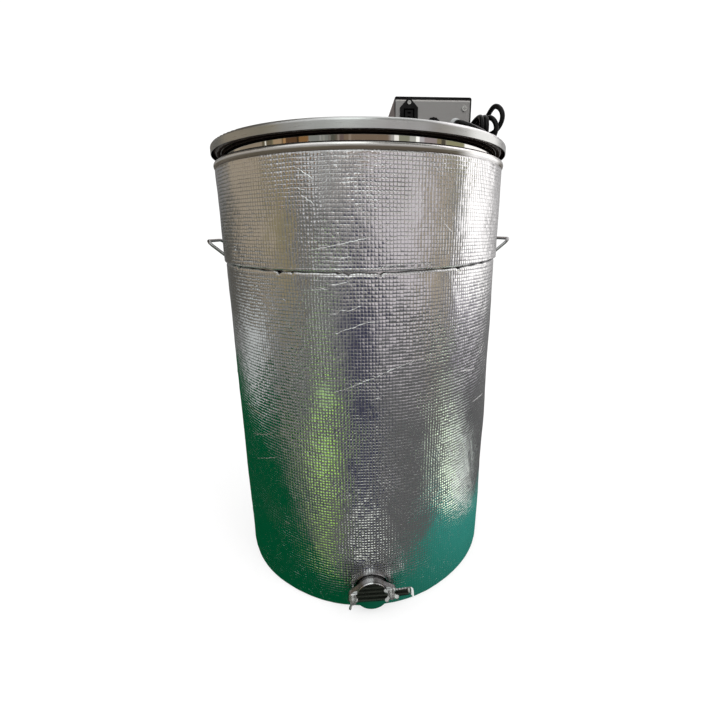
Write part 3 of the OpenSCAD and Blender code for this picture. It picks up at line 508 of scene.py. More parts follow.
def rows_between(low, high):
    """Heights of a band's rows, close together near its edges."""
    close = np.arange(0, EDGE_H, EDGE_STEP)
    count = round((high - low - 2 * EDGE_H) / ROW_STEP) + 1
    middle = np.linspace(low + EDGE_H, high - EDGE_H, count)
    return np.concatenate([low + close, middle, (high - close)[::-1]])


def foil_sheet(name, radius, angle, r, z, keep):
    """The quads that are kept of a grid on the drum, with the wall of the gate's hole and flat places."""
    verts = on_drum(angle, r, z).reshape(-1, 3) * MM
    quads = grid_quads(*z.shape)[keep]
    inner, rim, inner_flat = hole_rim(quads, angle.ravel(), z.ravel(), radius)
    verts = np.vstack([verts, inner])
    faces = quads.tolist() + rim
    used = np.zeros(len(verts), bool)
    used[np.unique([v for f in faces for v in f])] = True
    renumber = np.cumsum(used) - 1
    piece = new_piece(name, verts[used].tolist(), [[int(renumber[v]) for v in f] for f in faces])
    mesh = piece.data
    flat = np.vstack([np.stack([angle * radius, z], -1).reshape(-1, 2) * MM, inner_flat])
    corner = np.empty(len(mesh.loops), np.int32)
    mesh.loops.foreach_get("vertex_index", corner)
    mesh.uv_layers.new(name="UVMap").data.foreach_set("uv", flat[used][corner].ravel())
    mesh.shade_smooth()
    mesh.update()
    return piece


def foil_band(name, node, radius, reach, trim):
    """One band with its edges turned in to the wall, and a function that tells its radius."""
    rows = rows_between(*reach)
    turns = np.radians(np.linspace(-180, 180, COLUMNS))
    angle, z = np.meshgrid(turns, rows)
    plain = waves(angle, z, *SWELL) + waves(angle, z, *RIPPLE)
    angle, z, relief, keep = trim(angle, z, plain)
    turned_in = ((1, 1), (0, 0))
    angle, z = np.pad(angle, turned_in, "edge"), np.pad(z, turned_in, "edge")
    r = np.pad(radius + relief, turned_in, constant_values=WALL_R + WALL_GAP)
    keep = np.pad(keep, turned_in, constant_values=True)
    piece = foil_sheet(name, radius, angle, r, z, keep)
    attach(piece, "tank")
    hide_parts(node)

    def surface(at_angle, at_z):
        """The band's radius at any place, without its trimmed edges."""
        row = np.interp(at_z, rows, np.arange(len(rows)))
        column = np.interp(at_angle, turns, np.arange(len(turns)))
        i, j = np.minimum(row.astype(int), len(rows) - 2), np.minimum(column.astype(int), len(turns) - 2)
        a, b = row - i, column - j
        near = plain[i, j] * (1 - a) * (1 - b) + plain[i + 1, j] * a * (1 - b)
        return radius + near + plain[i, j + 1] * (1 - a) * b + plain[i + 1, j + 1] * a * b

    return piece, surface


def hole_rim(quads, angle, z, radius):
    """The foam's cut wall round the gate's hole: its inner points, faces and flat places."""
    edges = [(int(a), int(b)) for quad in quads for a, b in zip(quad, np.roll(quad, -1))]
    known = set(edges)

    def at_hole(v):
        x = radius * math.sin(angle[v])
        return abs(angle[v]) < FRONT_HALF and math.hypot(x, z[v] - GATE_Z) < GATE_HOLE_R + HOLE_SLACK

    open_edges = [e for e in edges if e[::-1] not in known and at_hole(e[0]) and at_hole(e[1])]
    inner, place, faces, flats = [], {}, [], []
    for a, b in open_edges:
        for v in (a, b):
            if v not in place:
                place[v] = len(z) + len(inner)
                x = radius * math.sin(angle[v])
                inner.append((x, -math.sqrt((WALL_R + WALL_GAP)**2 - x * x), z[v]))
                flats.append((angle[v] * radius, z[v]))
        faces.append([b, a, place[a], place[b]])
    return np.array(inner).reshape(-1, 3) * MM, faces, np.array(flats).reshape(-1, 2) * MM


def seam_rise(angle):
    """How far the seam is above its level."""
    return np.interp(np.degrees(angle), *zip(*SEAM_RISE))


def trim_lower(angle, z, relief):
    """The lower band's hand-cut top, its foot and the cut above the gate, one lip of it standing proud."""
    low, high = LOWER_Z
    ragged = waves(angle[:1], z[:1], *LOWER_RAGGED)[0] - LOWER_SET_BACK
    for nick in EDGE_NICKS:
        ragged -= RNG.uniform(*NICK_DEPTH) * hump(near_angle(angle[0], nick), RNG.uniform(*NICK_HALF))
    ragged = np.minimum(ragged, 0)
    rise = seam_rise(angle)
    z = z + ramp(z - high + EDGE_H, EDGE_H) * ragged + ramp(z - high + RISE_H, RISE_H) * rise
    down = high + ragged + rise - z
    lean, lean_h = TOP_LEAN
    ridge, ridge_down, ridge_half = TOP_RIDGE
    relief = relief - rounding(down, *TOP_ROUND) - lean * np.clip(1 - down / lean_h, 0, 1)**2
    relief = relief + ridge * hump(down - ridge_down, ridge_half) - rounding(z - low, *FOOT_ROUND)
    cut = near_angle(angle, CUT_ANGLE) * math.radians(1) * LOWER_R
    fade = ramp(CUT_TOP - z, CUT_FADE) * (z > GATE_Z)
    proud = PROUD_LIP[0] * np.exp(-cut / PROUD_LIP[1])
    sunk = -SUNK_LIP[0] * np.exp(cut / SUNK_LIP[1])
    return gate_hole(angle, z, relief + fade * np.where(cut > 0, proud, sunk))


def gate_hole(angle, z, relief):
    """The hole for the gate: faces inside it go, and the points next to it move onto its edge."""
    x = LOWER_R * np.sin(angle)
    front = np.abs(angle) < FRONT_HALF
    off = np.hypot(x, z - GATE_Z)
    mid = (off[:-1, :-1] + off[1:, :-1] + off[:-1, 1:] + off[1:, 1:]) / 4
    gone = (mid < GATE_HOLE_R) & front[:-1, :-1]
    lift, lift_half = HOLE_LIFT
    relief = np.where(front, relief + lift * hump(np.maximum(0, off - GATE_HOLE_R), lift_half), relief)
    touch = np.zeros(z.shape, bool)
    stay = np.zeros(z.shape, bool)
    for i, j in ((0, 0), (0, 1), (1, 0), (1, 1)):
        part = (slice(i, i + gone.shape[0]), slice(j, j + gone.shape[1]))
        touch[part] |= gone
        stay[part] |= ~gone
    edge = touch & stay
    scale = GATE_HOLE_R / np.where(edge, off, GATE_HOLE_R)
    angle = np.where(edge, np.arcsin(np.clip(x * scale / LOWER_R, -1, 1)), angle)
    z = np.where(edge, GATE_Z + (z - GATE_Z) * scale, z)
    return angle, z, relief, ~gone


def trim_upper(angle, z, relief):
    """The upper band's hem along the seam, and its dents."""
    low = UPPER_Z[0]
    ragged = np.abs(waves(angle[:1], z[:1], *UPPER_RAGGED)[0])
    rise = seam_rise(angle)
    z = z + ramp(low + EDGE_H - z, EDGE_H) * ragged + ramp(low + RISE_H - z, RISE_H) * rise
    above = z - low - ragged - rise
    fold, fold_above, fold_half = HEM_FOLD
    uneven = FOLD_MEAN + FOLD_SWING * np.cos(FOLD_TURNS * angle)
    relief = relief - rounding(above, *HEM_ROUND) - fold * hump(above - fold_above, fold_half) * uneven
    off_dent = np.hypot(near_angle(angle, DENT_ANGLE) * DENT_DEGREE_L, z - DENT_Z)
    relief = relief + foot_dents(angle, z) - DENT_DEPTH * hump(off_dent, DENT_HALF)
    return angle, z, relief, np.ones((z.shape[0] - 1, z.shape[1] - 1), bool)


def foot_dents(angle, z):
    """The foil is pressed in round the handles' feet, which stand alike on both sides."""
    y = -UPPER_R * np.cos(angle)
    depth, dent_half = FOOT_DENT
    ring, ring_r, ring_half = FOOT_RING
    total = np.zeros_like(z)
    for foot in (-HANDLE_Y, HANDLE_Y):
        off = np.hypot(y - foot, z - HANDLE_FOOT_Z)
        total += ring * hump(off - ring_r, ring_half) - depth * hump(off, dent_half)
    return total


def joint_tape(name, radius, low, high):
    """A strip of foil tape over a band's upright joint at the back."""
    turns = np.radians(np.linspace(*TAPE_ANGLES, TAPE_COLUMNS))
    rows = np.linspace(low, high, int((high - low) / TAPE_ROW_H))
    angle, z = np.meshgrid(turns, rows)
    lift = TAPE_T + TAPE_RIPPLE * np.sin(z / TAPE_WAVE_H + angle * TAPE_WAVE_TURNS)
    lift[:, [0, -1]] = TAPE_EDGE_T
    verts = on_drum(angle, radius + lift, z).reshape(-1, 3) * MM
    piece = new_piece(name, verts.tolist(), grid_quads(*z.shape).reshape(-1, 4).tolist())
    piece.data.shade_smooth()
    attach(piece, "tank")
    return piece


foil_lower, lower_at = foil_band("foil_lower", "insulation_lower", LOWER_R, LOWER_Z, trim_lower)
foil_upper, upper_at = foil_band("foil_upper", "insulation_upper", UPPER_R, UPPER_Z, trim_upper)
lower_lines = LOWER_CREASES + random_creases(LOWER_RANDOM, *LOWER_Z)
upper_lines = UPPER_CREASES + random_creases(UPPER_RANDOM, *UPPER_Z)
creases_lower = crease_strips("creases_lower", lower_lines, lower_at, LOWER_R)
creases_upper = crease_strips("creases_upper", upper_lines, upper_at, UPPER_R)
tape_lower = joint_tape("tape_lower", LOWER_R, *LOWER_TAPE_Z)
tape_upper = joint_tape("tape_upper", UPPER_R, *UPPER_TAPE_Z)


# Materials: colours are linear, scales are per metre and bump depths in metres

def foil_paint():
    """Aluminium foil over a scrim: small pillows between pressed-in threads with painted shade along them,
    dark foam at the cuts.
    """
    pitch, wander_scale, wander = (0.0053, 0.0054), (28, 33), 0.0022
    rim_share, dome_share, tilt_share, crumple_share, depth = -0.07, -0.68, 0.6, 0.12, 0.001
    p = Paint("foil")
    flat = p.add("UVMap", uv_map="UVMap").outputs[0]
    cells, inside = [], []
    for along, step, scale in zip(p.split(flat), pitch, wander_scale):
        threads = p.math("DIVIDE", p.shifted(along, p.noise(flat, scale, detail=2), wander), step)
        cells.append(p.math("FLOOR", threads))
        inside.append(p.minus(p.minus(threads, cells[-1]), 0.5))
    in_u, in_v = inside
    chance = p.add("TexWhiteNoise", {"Vector": p.join(*cells, 0.0)}, noise_dimensions="3D")
    first, second, third = p.split(chance.outputs["Color"])
    tilt = p.plus(p.times(p.minus(first, 0.5), in_u), p.times(p.minus(second, 0.5), in_v))
    dome = p.plus(p.times(in_u, in_u), p.times(in_v, in_v))
    aside = p.math("MAXIMUM", p.math("ABSOLUTE", in_u), p.math("ABSOLUTE", in_v))
    rim = p.remap(aside, 0.34, 0.5, smooth=True)
    patchy = p.remap(p.noise(flat, 11, detail=2), 0.32, 0.68, 0.35, 1.25)
    pillow = p.shifted(p.times(dome, dome_share), rim, rim_share)
    relief = p.times(p.shifted(pillow, tilt, tilt_share), patchy)
    p.bump(p.shifted(relief, p.noise(flat, 300, rough=0.6), crumple_share), depth)
    lines = p.times(rim, patchy)
    x, y, _ = p.split(p.place())
    foam = p.passing(p.off_axis(x, y), FOAM_R)
    # Painted shade: the foil's colour is darkened along the pressed-in threads, where the grooves fall in
    # shade
    skin = p.mix(p.times(lines, 0.6), (0.92, 0.92, 0.93, 1), (0.55, 0.55, 0.56, 1))
    p.set("Base Color", p.mix(foam, skin, grey(0.02)))
    p.set("Metallic", p.minus(1.0, foam))
    p.set("Roughness", p.shifted(p.remap(third, 0.0, 1.0, 0.06, 0.16), lines, 0.12))
    return p.material


def crease_paint():
    """Foil worn a little duller along its folds."""
    p = Paint("crease", Metallic=1.0)
    place = p.place()
    p.set("Base Color", p.mix(p.noise(place, 200), grey(0.66), grey(0.86)))
    p.set("Roughness", p.from_noise(p.noise(place, 500), 0.16, 0.34))
    return p.material


def tape_paint():
    """Foil tape with slight ripples."""
    p = Paint("tape", Metallic=1.0)
    place = p.place()
    p.bump(p.stretched_noise(place, (40, 40, 260), rough=0.55), 0.0004, 0.5)
    p.set("Base Color", p.mix(p.noise(place, 60), grey(0.80), grey(0.90)))
    p.set("Roughness", p.from_noise(p.noise(place, 300), 0.14, 0.26))
    return p.material


def lid_paint():
    """Steel brushed round the lid's axis, with painted shade inside the turned-down rim, dark and dull where
    other surfaces stand close.
    """
    p = Paint("lid_steel", Anisotropic=0.75, Anisotropic_Rotation=0.25)
    x, y, z = p.split(p.place())
    out = p.off_axis(x, y)
    turn = p.math("ARCTAN2", y, x)
    across, around = 900, 7
    spun = p.join(p.times(out, across), p.times(turn, around), p.times(z, across))
    lines = p.noise(spun, 1.0, detail=4, rough=0.7)
    marks = p.noise(p.place(), 18, detail=4)
    # Painted shade: away from the lid's top and outer skin, where other surfaces stand close, the steel is
    # painted dark and dull
    outside = p.math("MAXIMUM", p.passing(z, LID_TOP_Z), p.passing(out, LID_SKIN_R))
    unshaded = p.math("MAXIMUM", outside, p.openness(0.62, 0.80))
    bright = p.mix(lines, (0.63, 0.64, 0.63, 1), (0.78, 0.79, 0.78, 1))
    p.set("Base Color", p.mix(unshaded, (0.018, 0.014, 0.012, 1), bright))
    p.set("Metallic", unshaded)
    p.set("Specular IOR Level", p.times(unshaded, 0.5))
    p.bump(lines, 0.00004, 0.35)
    p.set("Roughness", p.shifted(p.from_noise(lines, 0.20, 0.34), marks, 0.10))
    p.set("Tangent", p.add("Tangent", direction_type="RADIAL", axis="Z").outputs[0])
    return p.material


def tank_paint():
    """Rolled steel: bright above the bead, satin on it and inside, with painted shade in the gap under the
    lid and painted shade and a painted highlight under the bead.
    """
    p = Paint("tank_steel")
    x, y, z = p.split(p.place())
    out = p.off_axis(x, y)
    lines = p.stretched_noise(p.place(), (9, 9, 900))
    neck = p.passing(z, NECK_Z, smooth=True)
    inside = p.passing(out, TANK_INSIDE_R)
    outer_rough = p.times(p.from_noise(lines, 0.14, 0.24), p.remap(neck, 0, 1, 1.0, 0.15))
    p.set("Roughness", p.shifted(outer_rough, inside, 0.18))
    # Painted shade: the rolled rim is painted dark and dull where the lid closes round it
    roll = p.times(p.passing(z, ROLL_Z), p.passing(out, ROLL_R))
    gap_shade = p.times(roll, p.minus(1.0, p.openness(0.50, 0.70)))
    # Painted shade and painted reflection: the bead's underside is painted dark brown, and near white over
    # one stretch of x
    bead = p.times(p.passing(z, BEAD_Z), p.passing(out, BEAD_R))
    lit = p.times(p.passing(x, BEAD_LIT_X, smooth=True), p.passing(x, BEAD_DIM_X, smooth=True))
    bead_shade_and_highlight = p.mix(lit, (0.10, 0.082, 0.060, 1), (0.92, 0.90, 0.89, 1))
    steel = p.mix(p.noise(p.place(), 25), (0.78, 0.77, 0.75, 1), (0.88, 0.87, 0.85, 1))
    p.set("Base Color", p.mix(gap_shade, p.mix(bead, steel, bead_shade_and_highlight), (0.024, 0.018, 0.015, 1)))
    metal = p.shifted(p.shifted(1.0, bead, -0.85), inside, -0.45)
    p.set("Metallic", p.math("SUBTRACT", metal, gap_shade, clamp=True))
    p.set("Specular IOR Level", p.shifted(0.5, gap_shade, -0.5))
    p.bump(lines, 0.00003, p.remap(neck, 0, 1, 0.3, 0.05))
    return p.material


def rub(p, rough):
    """Puts faint rubbing marks on a polished steel, and tells the roughness that goes with them."""
    least, most = 0.7, 1.5
    marks = p.stretched_noise(p.place(), (60, 60, 420), detail=4, rough=0.65)
    p.bump(marks, 0.00003, 0.25)
    return p.from_noise(marks, rough * least, rough * most)


def polished_paint(name, low, high, rough):
    """Polished steel between two greys."""
    p = Paint(name, Metallic=1.0)
    p.set("Base Color", p.mix(p.noise(p.place(), 30), grey(low), grey(high)))
    p.set("Roughness", rub(p, rough))
    return p.material


def plate_paint():
    """The gate's bright plate, rubbed to a pale satin at the lever's bent end."""
    p = Paint("gate_steel")
    place = p.place()
    end = p.passing(p.split(place)[0], LEVER_END_X)
    bright = p.mix(p.noise(place, 30), grey(0.72), grey(0.82))
    p.set("Base Color", p.mix(end, bright, grey(0.86)))
    p.set("Metallic", p.shifted(1.0, end, -0.8))
    p.set("Roughness", p.shifted(rub(p, 0.09), end, 0.25))
    return p.material


def zinc_paint():
    """Mottled zinc plating."""
    p = Paint("zinc", Metallic=0.8)
    spots = p.noise(p.place(), 420, detail=4)
    p.set("Base Color", p.mix(spots, (0.34, 0.345, 0.33, 1), (0.60, 0.605, 0.585, 1)))
    p.set("Roughness", p.from_noise(spots, 0.12, 0.28))
    p.bump(spots, 0.00004, 0.3)
    return p.material


def case_paint():
    """Sheet steel brushed level, with a few faint smears and a painted highlight along the fold at its top.
    """
    p = Paint("case_steel", Metallic=1.0)
    place = p.place()
    lines = p.stretched_noise(place, (16, 700, 1400))
    smear = p.remap(p.noise(place, 42), 0.56, 0.70)
    sheet = p.mix(lines, (0.37, 0.37, 0.365, 1), (0.46, 0.46, 0.45, 1))
    # Painted highlight: the fold along the case's top is painted pale, as if it caught the light
    fold = p.passing(p.split(place)[2], CASE_FOLD_HIGHLIGHT_Z, smooth=True)
    p.set("Base Color", p.mix(fold, sheet, (0.82, 0.82, 0.80, 1)))
    p.set("Roughness", p.shifted(p.from_noise(lines, 0.28, 0.40), smear, 0.18))
    p.bump(lines, 0.00003, 0.3)
    return p.material


def plastic_paint(name, dark, light, rough, grain=900, shine=0.5):
    """Moulded plastic with a fine grain and dulled patches."""
    p = Paint(name, Specular_IOR_Level=shine)
    place = p.place()
    worn = p.noise(place, 55, detail=4)
    dulling = 0.16
    p.set("Base Color", p.mix(p.remap(worn, 0.35, 0.75), dark, light))
    p.set("Roughness", p.shifted(rough - dulling / 2, worn, dulling))
    p.bump(p.noise(place, grain, detail=2), 0.00005, 0.35)
    return p.material


def cell_paint(name, rough, scale, dark, light, depth, strength):
    """A surface of small round cells: a woven strap or foam."""
    p = Paint(name, Roughness=rough)
    cells = p.add("TexVoronoi", {"Vector": p.place(), "Scale": scale}).outputs["Distance"]
    p.set("Base Color", p.mix(cells, grey(dark), grey(light)))
    p.bump(cells, depth, strength)
    return p.material


def mat_paint():
    """Silicone heating mat with its wire showing as fine ribs."""
    p = Paint("heater", Roughness=0.6)
    place = p.place()
    p.set("Base Color", p.mix(p.noise(place, 90), (0.50, 0.13, 0.03, 1), (0.62, 0.20, 0.05, 1)))
    rib_scale = 700
    p.bump(p.math("SINE", p.times(p.split(place)[0], rib_scale)), 0.0004, 0.5)
    return p.material


def board_paint():
    """Circuit board with darker tracks."""
    p = Paint("board", Roughness=0.35)
    track = p.add("TexBrick", {
        "Vector": p.place(), "Scale": 60.0, "Mortar Size": 0.06,
        "Color1": (0.02, 0.16, 0.05, 1), "Color2": (0.02, 0.20, 0.07, 1), "Mortar": (0.01, 0.09, 0.03, 1),
    })
    p.set("Base Color", track.outputs["Color"])
    p.bump(track.outputs["Fac"], 0.00005, 0.4)
    return p.material


def rubber_paint():
    """Glossy cord sheath with a fine drawn texture."""
    p = Paint("cord_rubber", Specular_IOR_Level=0.18)
    place = p.place()
    p.set("Base Color", p.mix(p.noise(place, 70), grey(0.002), grey(0.006)))
    p.set("Roughness", p.from_noise(p.noise(place, 240, detail=4), 0.20, 0.36))
    p.bump(p.noise(place, 500, detail=2), 0.00006, 0.3)
    return p.material


def plastics():
    """Materials of the moulded nodes, by the names of the nodes."""
    cover = plastic_paint("cover_black", grey(0.003), grey(0.008), 0.34, 500, shine=0.12)
    black = plastic_paint("black_plastic", grey(0.003), grey(0.009), 0.38, shine=0.12)
    rubber = plastic_paint("black_rubber", grey(0.012), grey(0.030), 0.62, 700)
    gland = plastic_paint("gland_grey", (0.36, 0.37, 0.37, 1), (0.46, 0.47, 0.47, 1), 0.42)
    ivory = plastic_paint("ivory_plastic", (0.62, 0.59, 0.50, 1), (0.72, 0.69, 0.60, 1), 0.42)
    silicone = plastic_paint("seal_silicone", (0.55, 0.56, 0.55, 1), (0.66, 0.67, 0.66, 1), 0.48)
    return {
        "controller_cover": cover,
        "outlet_socket control_knob plug_body heat_control": black,
        "lead_grommet": rubber,
        "gland_body gland_nut gland_locknut": gland,
        "board_posts terminal_block": ivory,
        "gate_seal": silicone,
    }


def metals():
    """Materials of the metal nodes, by the names of the nodes."""
    return {
        "tank_wall tank_floor base_plate": tank_paint(),
        "left_handle right_handle lid_grip outlet_stub": polished_paint("rod_steel", 0.30, 0.42, 0.22),
        "lid_panel": lid_paint(),
        "gate_body": polished_paint("body_steel", 0.25, 0.37, 0.18),
        "gate_plate": plate_paint(),
        "pivot_bolt clamp_bolt gate_washers pivot_wing_nut clamp_wing_nut cover_screws case_bolts case_nuts "
        "outlet_screws control_nut control_shaft earth_screw earth_nut": zinc_paint(),
        "controller_case": case_paint(),
        "board_parts": polished_paint("board_metal", 0.34, 0.46, 0.32),
        "plug_pins": polished_paint("pin_metal", 0.62, 0.74, 0.18),
    }


def others():
    """Materials of the other nodes, by the names of the nodes."""
    return {
        "cord_tie": cell_paint("strap", 0.85, 1100.0, 0.012, 0.05, 0.0003, 0.7),
        "heating_mat": mat_paint(),
        "regulator_board": board_paint(),
        "base_pad": cell_paint("pad_foam", 0.9, 650.0, 0.16, 0.30, 0.0006, 0.6),
    }


def dress():
    """Gives every piece and node its material."""
    own = (
        ((foil_lower, foil_upper), foil_paint()), ((tape_lower, tape_upper), tape_paint()),
        ((creases_lower, creases_upper), crease_paint()), ((cord,), rubber_paint()),
    )
    for pieces, material in own:
        for piece in pieces:
            piece.data.materials.append(material)
    for names, material in {**metals(), **plastics(), **others()}.items():
        for name in names.split():
            for slot in NODES[name].material_slots:
                slot.material = material


dress()


# Stage and light, in metres

FLOOR_SPAN, FLOOR_Z = (-6, 6), -0.0004
# The green ground and the ribbed shade that the steel mirrors lie just above the floor
GROUND_X, GROUND_Y, GROUND_Z = (-1.08, 0.35), (-0.315, 1.2), 0.0002
SHADE_X, SHADE_Y, SHADE_Z = (-0.07, 0.07), (-0.350, -0.301), 0.0004
GROUND_FADE_X, SHADE_RIBS = (-0.05, 0.33), 780.0
RAYS = ("camera", "diffuse", "glossy", "transmission", "shadow", "volume_scatter")


def card(name, x, y, z, material, *seen_by):
    """A level card that isn't part of the object."""
    corners = [(x[0], y[0], z), (x[1], y[0], z), (x[1], y[1], z), (x[0], y[1], z)]
    piece = new_piece(name, corners, [(0, 1, 2, 3)])
    piece.data.materials.append(material)
    for ray in RAYS:
        setattr(piece, "visible_" + ray, ray in seen_by)


def floor_paint():
    """A pale floor, lit a little from within."""
    p = Paint("floor", Roughness=0.9, Emission_Color=grey(1.0), Emission_Strength=0.62)
    p.set("Specular IOR Level", 0.0)
    p.set("Base Color", p.mix(p.noise(p.place(), 3), grey(0.37), grey(0.39)))
    return p.material


def glow(p, share, low, high):
    """Turns a paint into a plain glow between two colours."""
    p.tree.nodes.remove(p.shader)
    light = p.add("Emission", {"Color": p.mix(share, low, high)})
    out = next(n for n in p.tree.nodes if n.type == "OUTPUT_MATERIAL")
    p.tree.links.new(light.outputs[0], out.inputs["Surface"])
    return p.material


def ground_glow():
    p = Paint("ground_glow")
    share = p.remap(p.split(p.place())[0], *GROUND_FADE_X)
    return glow(p, share, (0.0, 0.064, 0.023, 1), (0.04, 0.27, 0.225, 1))


def shade_glow():
    p = Paint("shade_glow")
    share = p.remap(p.math("SINE", p.times(p.split(p.place())[1], SHADE_RIBS)), 0.2, 1.0)
    return glow(p, share, (0.004, 0.005, 0.004, 1), (0.050, 0.056, 0.044, 1))


card("floor", FLOOR_SPAN, FLOOR_SPAN, FLOOR_Z, floor_paint(), "camera", "diffuse", "shadow")
card("ground_card", GROUND_X, GROUND_Y, GROUND_Z, ground_glow(), "glossy")
card("shade_card", SHADE_X, SHADE_Y, SHADE_Z, shade_glow(), "glossy")

# Soft boxes and walls of the studio as the steel sees them: azimuth, elevation, half width and half height
# in degrees, with azimuth 0 toward the front, then softness as a share of both halves, and colour
STUDIO = [
    (-120, 45, 45, 28, 0.3, (0.08, 0.07, 0.06)),
    (112, 36, 39, 16, 0.35, (1.90, 1.80, 1.85)),
    (38, 45, 32, 25, 0.4, (0.18, 0.175, 0.16)),
    (-9, 38, 15, 18, 0.5, (1.72, 1.83, 1.78)),
    (0, 17, 48, 11, 0.4, (0.50, 0.50, 0.49)),
    (27, 2, 22, 15, 0.35, (0.58, 0.54, 0.56)),
    (-22, 0, 18, 7, 0.3, (0.24, 0.23, 0.22)),
    (-95, 8, 27, 16, 0.35, (0.33, 0.28, 0.21)),
    (-131, -5, 20, 9, 0.45, (0.07, 0.07, 0.06)),
    (-115, -7, 28, 4, 0.4, (0.09, 0.085, 0.075)),
    (-66, 3, 9, 16, 0.3, (0.22, 0.19, 0.11)),
    (-40, -6, 13, 16, 0.4, (0.12, 0.12, 0.115)),
    (60, 0, 9, 14, 0.3, (0.36, 0.31, 0.24)),
    (140, 8, 18, 15, 0.35, (0.42, 0.41, 0.41)),
    (96, -12, 16, 6, 0.4, (0.36, 0.34, 0.38)),
    (75, -24, 45, 5, 0.4, (0.10, 0.10, 0.10)),
    (103.3, 13, 21.8, 22, 0.2, (1.25, 1.22, 1.20)),
    (-106, -16.5, 17, 5.5, 0.4, (0.49, 0.51, 0.50)),
    (-93, -30, 32, 7.5, 0.35, (0.012, 0.05, 0.025)),
    (-38, -32.5, 9, 5.5, 0.35, (0.44, 0.80, 0.10)),
    (-37, -28.5, 7, 3, 0.35, (0.38, 0.54, 0.32)),
    (81, -33.7, 8.5, 4.2, 0.25, (1.40, 1.72, 1.25)),
    (101, -36, 16, 4.5, 0.25, (0.85, 0.92, 0.86)),
    (-3, -23, 12, 16, 0.4, (0.045, 0.045, 0.075)),
    (0, -47.5, 12, 3, 0.4, (1.05, 1.10, 1.00)),
    (-173, 14, 7, 10, 0.4, (0.75, 0.62, 0.58)),
    (-36, 7, 3.5, 4, 0.4, (0.85, 0.85, 0.87)),
    (-38, -13, 3, 3, 0.4, (0.65, 0.68, 0.64)),
    (-66, -22, 3, 3, 0.4, (0.40, 0.40, 0.37)),
    (-10, 12, 4, 4, 0.4, (1.50, 1.50, 1.50)),
    (12, 14, 3.5, 4, 0.4, (1.40, 1.40, 1.40)),
]
# Narrow upright stripes that show in the polished neck: azimuth, half width and colour
STRIPE_RISE, STRIPE_HALF_H, STRIPE_SOFTNESS = 11.2, 2.4, 0.15
STRIPES = [
    (-148, 8, (0.18, 0.15, 0.12)), (-129, 12, (0.09, 0.08, 0.06)), (-94, 14, (0.28, 0.23, 0.17)),
    (-76, 5, (0.13, 0.11, 0.07)), (-77.5, 0.7, (0.80, 0.78, 0.70)), (-66, 4, (0.36, 0.26, 0.16)),
    (-58.5, 0.6, (0.04, 0.03, 0.02)), (-53, 9, (0.11, 0.06, 0.03)), (-60, 1.2, (0.38, 0.22, 0.10)),
    (-48.8, 0.7, (0.03, 0.02, 0.01)), (-43.8, 4, (0.24, 0.13, 0.05)), (-32, 8, (0.22, 0.23, 0.21)),
    (-21.5, 3.5, (0.09, 0.09, 0.07)), (-31, 0.7, (0.34, 0.34, 0.32)), (-28.5, 0.8, (0.30, 0.30, 0.27)),
    (-24, 0.8, (0.20, 0.19, 0.17)), (1.5, 20, (0.19, 0.14, 0.10)), (-15, 1.5, (0.14, 0.10, 0.09)),
    (-9, 1.0, (0.28, 0.22, 0.17)), (38, 16, (0.27, 0.27, 0.20)), (23.2, 1.6, (0.40, 0.38, 0.36)),
    (25.7, 1.8, (0.95, 0.93, 0.88)), (38.5, 2.6, (0.46, 0.46, 0.42)), (42.8, 1.8, (1.15, 1.15, 1.10)),
    (47, 3, (0.48, 0.46, 0.48)), (54, 6, (0.33, 0.28, 0.28)), (61, 2, (0.24, 0.20, 0.12)),
    (65, 2, (0.08, 0.07, 0.05)), (77.5, 9.5, (0.30, 0.29, 0.17)), (129, 8, (0.21, 0.20, 0.20)),
]
# The room behind them: elevations over which its grey changes, its greys, and the light that isn't mirrored
GROUND_TO_WALL, WALL_TO_SKY = (-40, 0), (8, 40)
GROUND_GREY, WALL_GREY, SKY_GREY, PLAIN_LIGHT = 0.10, 0.20, 0.95, 1.08
# Lamps: name, place, size and power; both aim at the middle of the tank
LAMPS = [("key_light", (1.9, -1.7, 2.4), 1.6, 30), ("fill_light", (-2.2, -1.2, 1.8), 1.8, 14)]
LAMP_AIM = Vector((0, 0, 0.45))


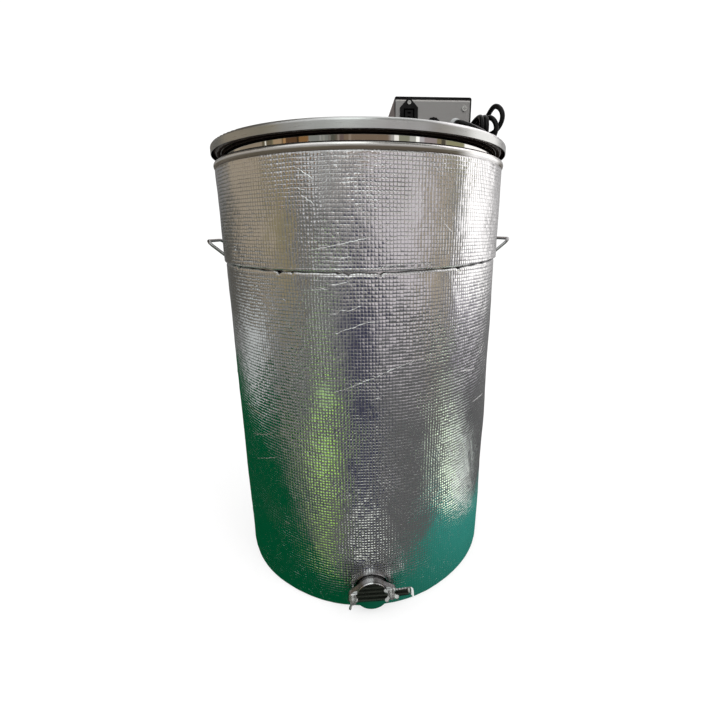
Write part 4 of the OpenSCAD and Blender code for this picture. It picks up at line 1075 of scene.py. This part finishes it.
def make_world():
    """The studio for mirrored rays, and one plain light for all the others."""
    world = bpy.data.worlds.new("studio")
    bpy.context.scene.world = world
    world.use_nodes = True
    g = Graph(world.node_tree)
    g.tree.nodes.clear()
    x, y, z = g.split(g.add("TexCoord").outputs["Generated"])
    azimuth = g.math("DEGREES", g.math("ARCTAN2", x, g.times(y, -1.0)))
    height = g.math("DEGREES", g.math("ARCSINE", z))
    seen = g.mix(g.remap(height, *GROUND_TO_WALL, smooth=True), grey(GROUND_GREY), grey(WALL_GREY))
    seen = g.mix(g.remap(height, *WALL_TO_SKY, smooth=True), seen, grey(SKY_GREY))
    stripes = [(turn, STRIPE_RISE, wide, STRIPE_HALF_H, STRIPE_SOFTNESS, colour)
               for turn, wide, colour in STRIPES]

    def within(value, middle, half, soft):
        off = g.math("ABSOLUTE", g.minus(value, float(middle)))
        return g.remap(off, half * (1 - soft), half * (1 + soft), 1.0, 0.0, smooth=True)

    for turn, rise, wide, tall, soft, colour in STUDIO + stripes:
        share = g.times(within(azimuth, turn, wide, soft), within(height, rise, tall, soft))
        seen = g.mix(share, seen, (*colour, 1))
    steel = g.add("Background", {"Color": seen, "Strength": 1.0}).outputs[0]
    plain = g.add("Background", {"Color": grey(1.0), "Strength": PLAIN_LIGHT}).outputs[0]
    on_steel = g.add("LightPath").outputs["Is Glossy Ray"]
    mixed = g.add("MixShader", {0: on_steel, 1: plain, 2: steel}).outputs[0]
    g.add("OutputWorld", {"Surface": mixed})


def soft_box(name, place, size, power):
    """A square lamp that the steel doesn't mirror."""
    data = bpy.data.lights.new(name, "AREA")
    data.shape = "SQUARE"
    data.size = size
    data.energy = power
    light = bpy.data.objects.new(name, data)
    light.location = place
    light.rotation_mode = "QUATERNION"
    light.rotation_quaternion = (LAMP_AIM - Vector(place)).to_track_quat("-Z", "Y")
    light.visible_glossy = False
    bpy.context.scene.collection.objects.link(light)


make_world()
for lamp in LAMPS:
    soft_box(*lamp)
bpy.context.scene.view_settings.view_transform = "Standard"

bpy.context.view_layer.update()
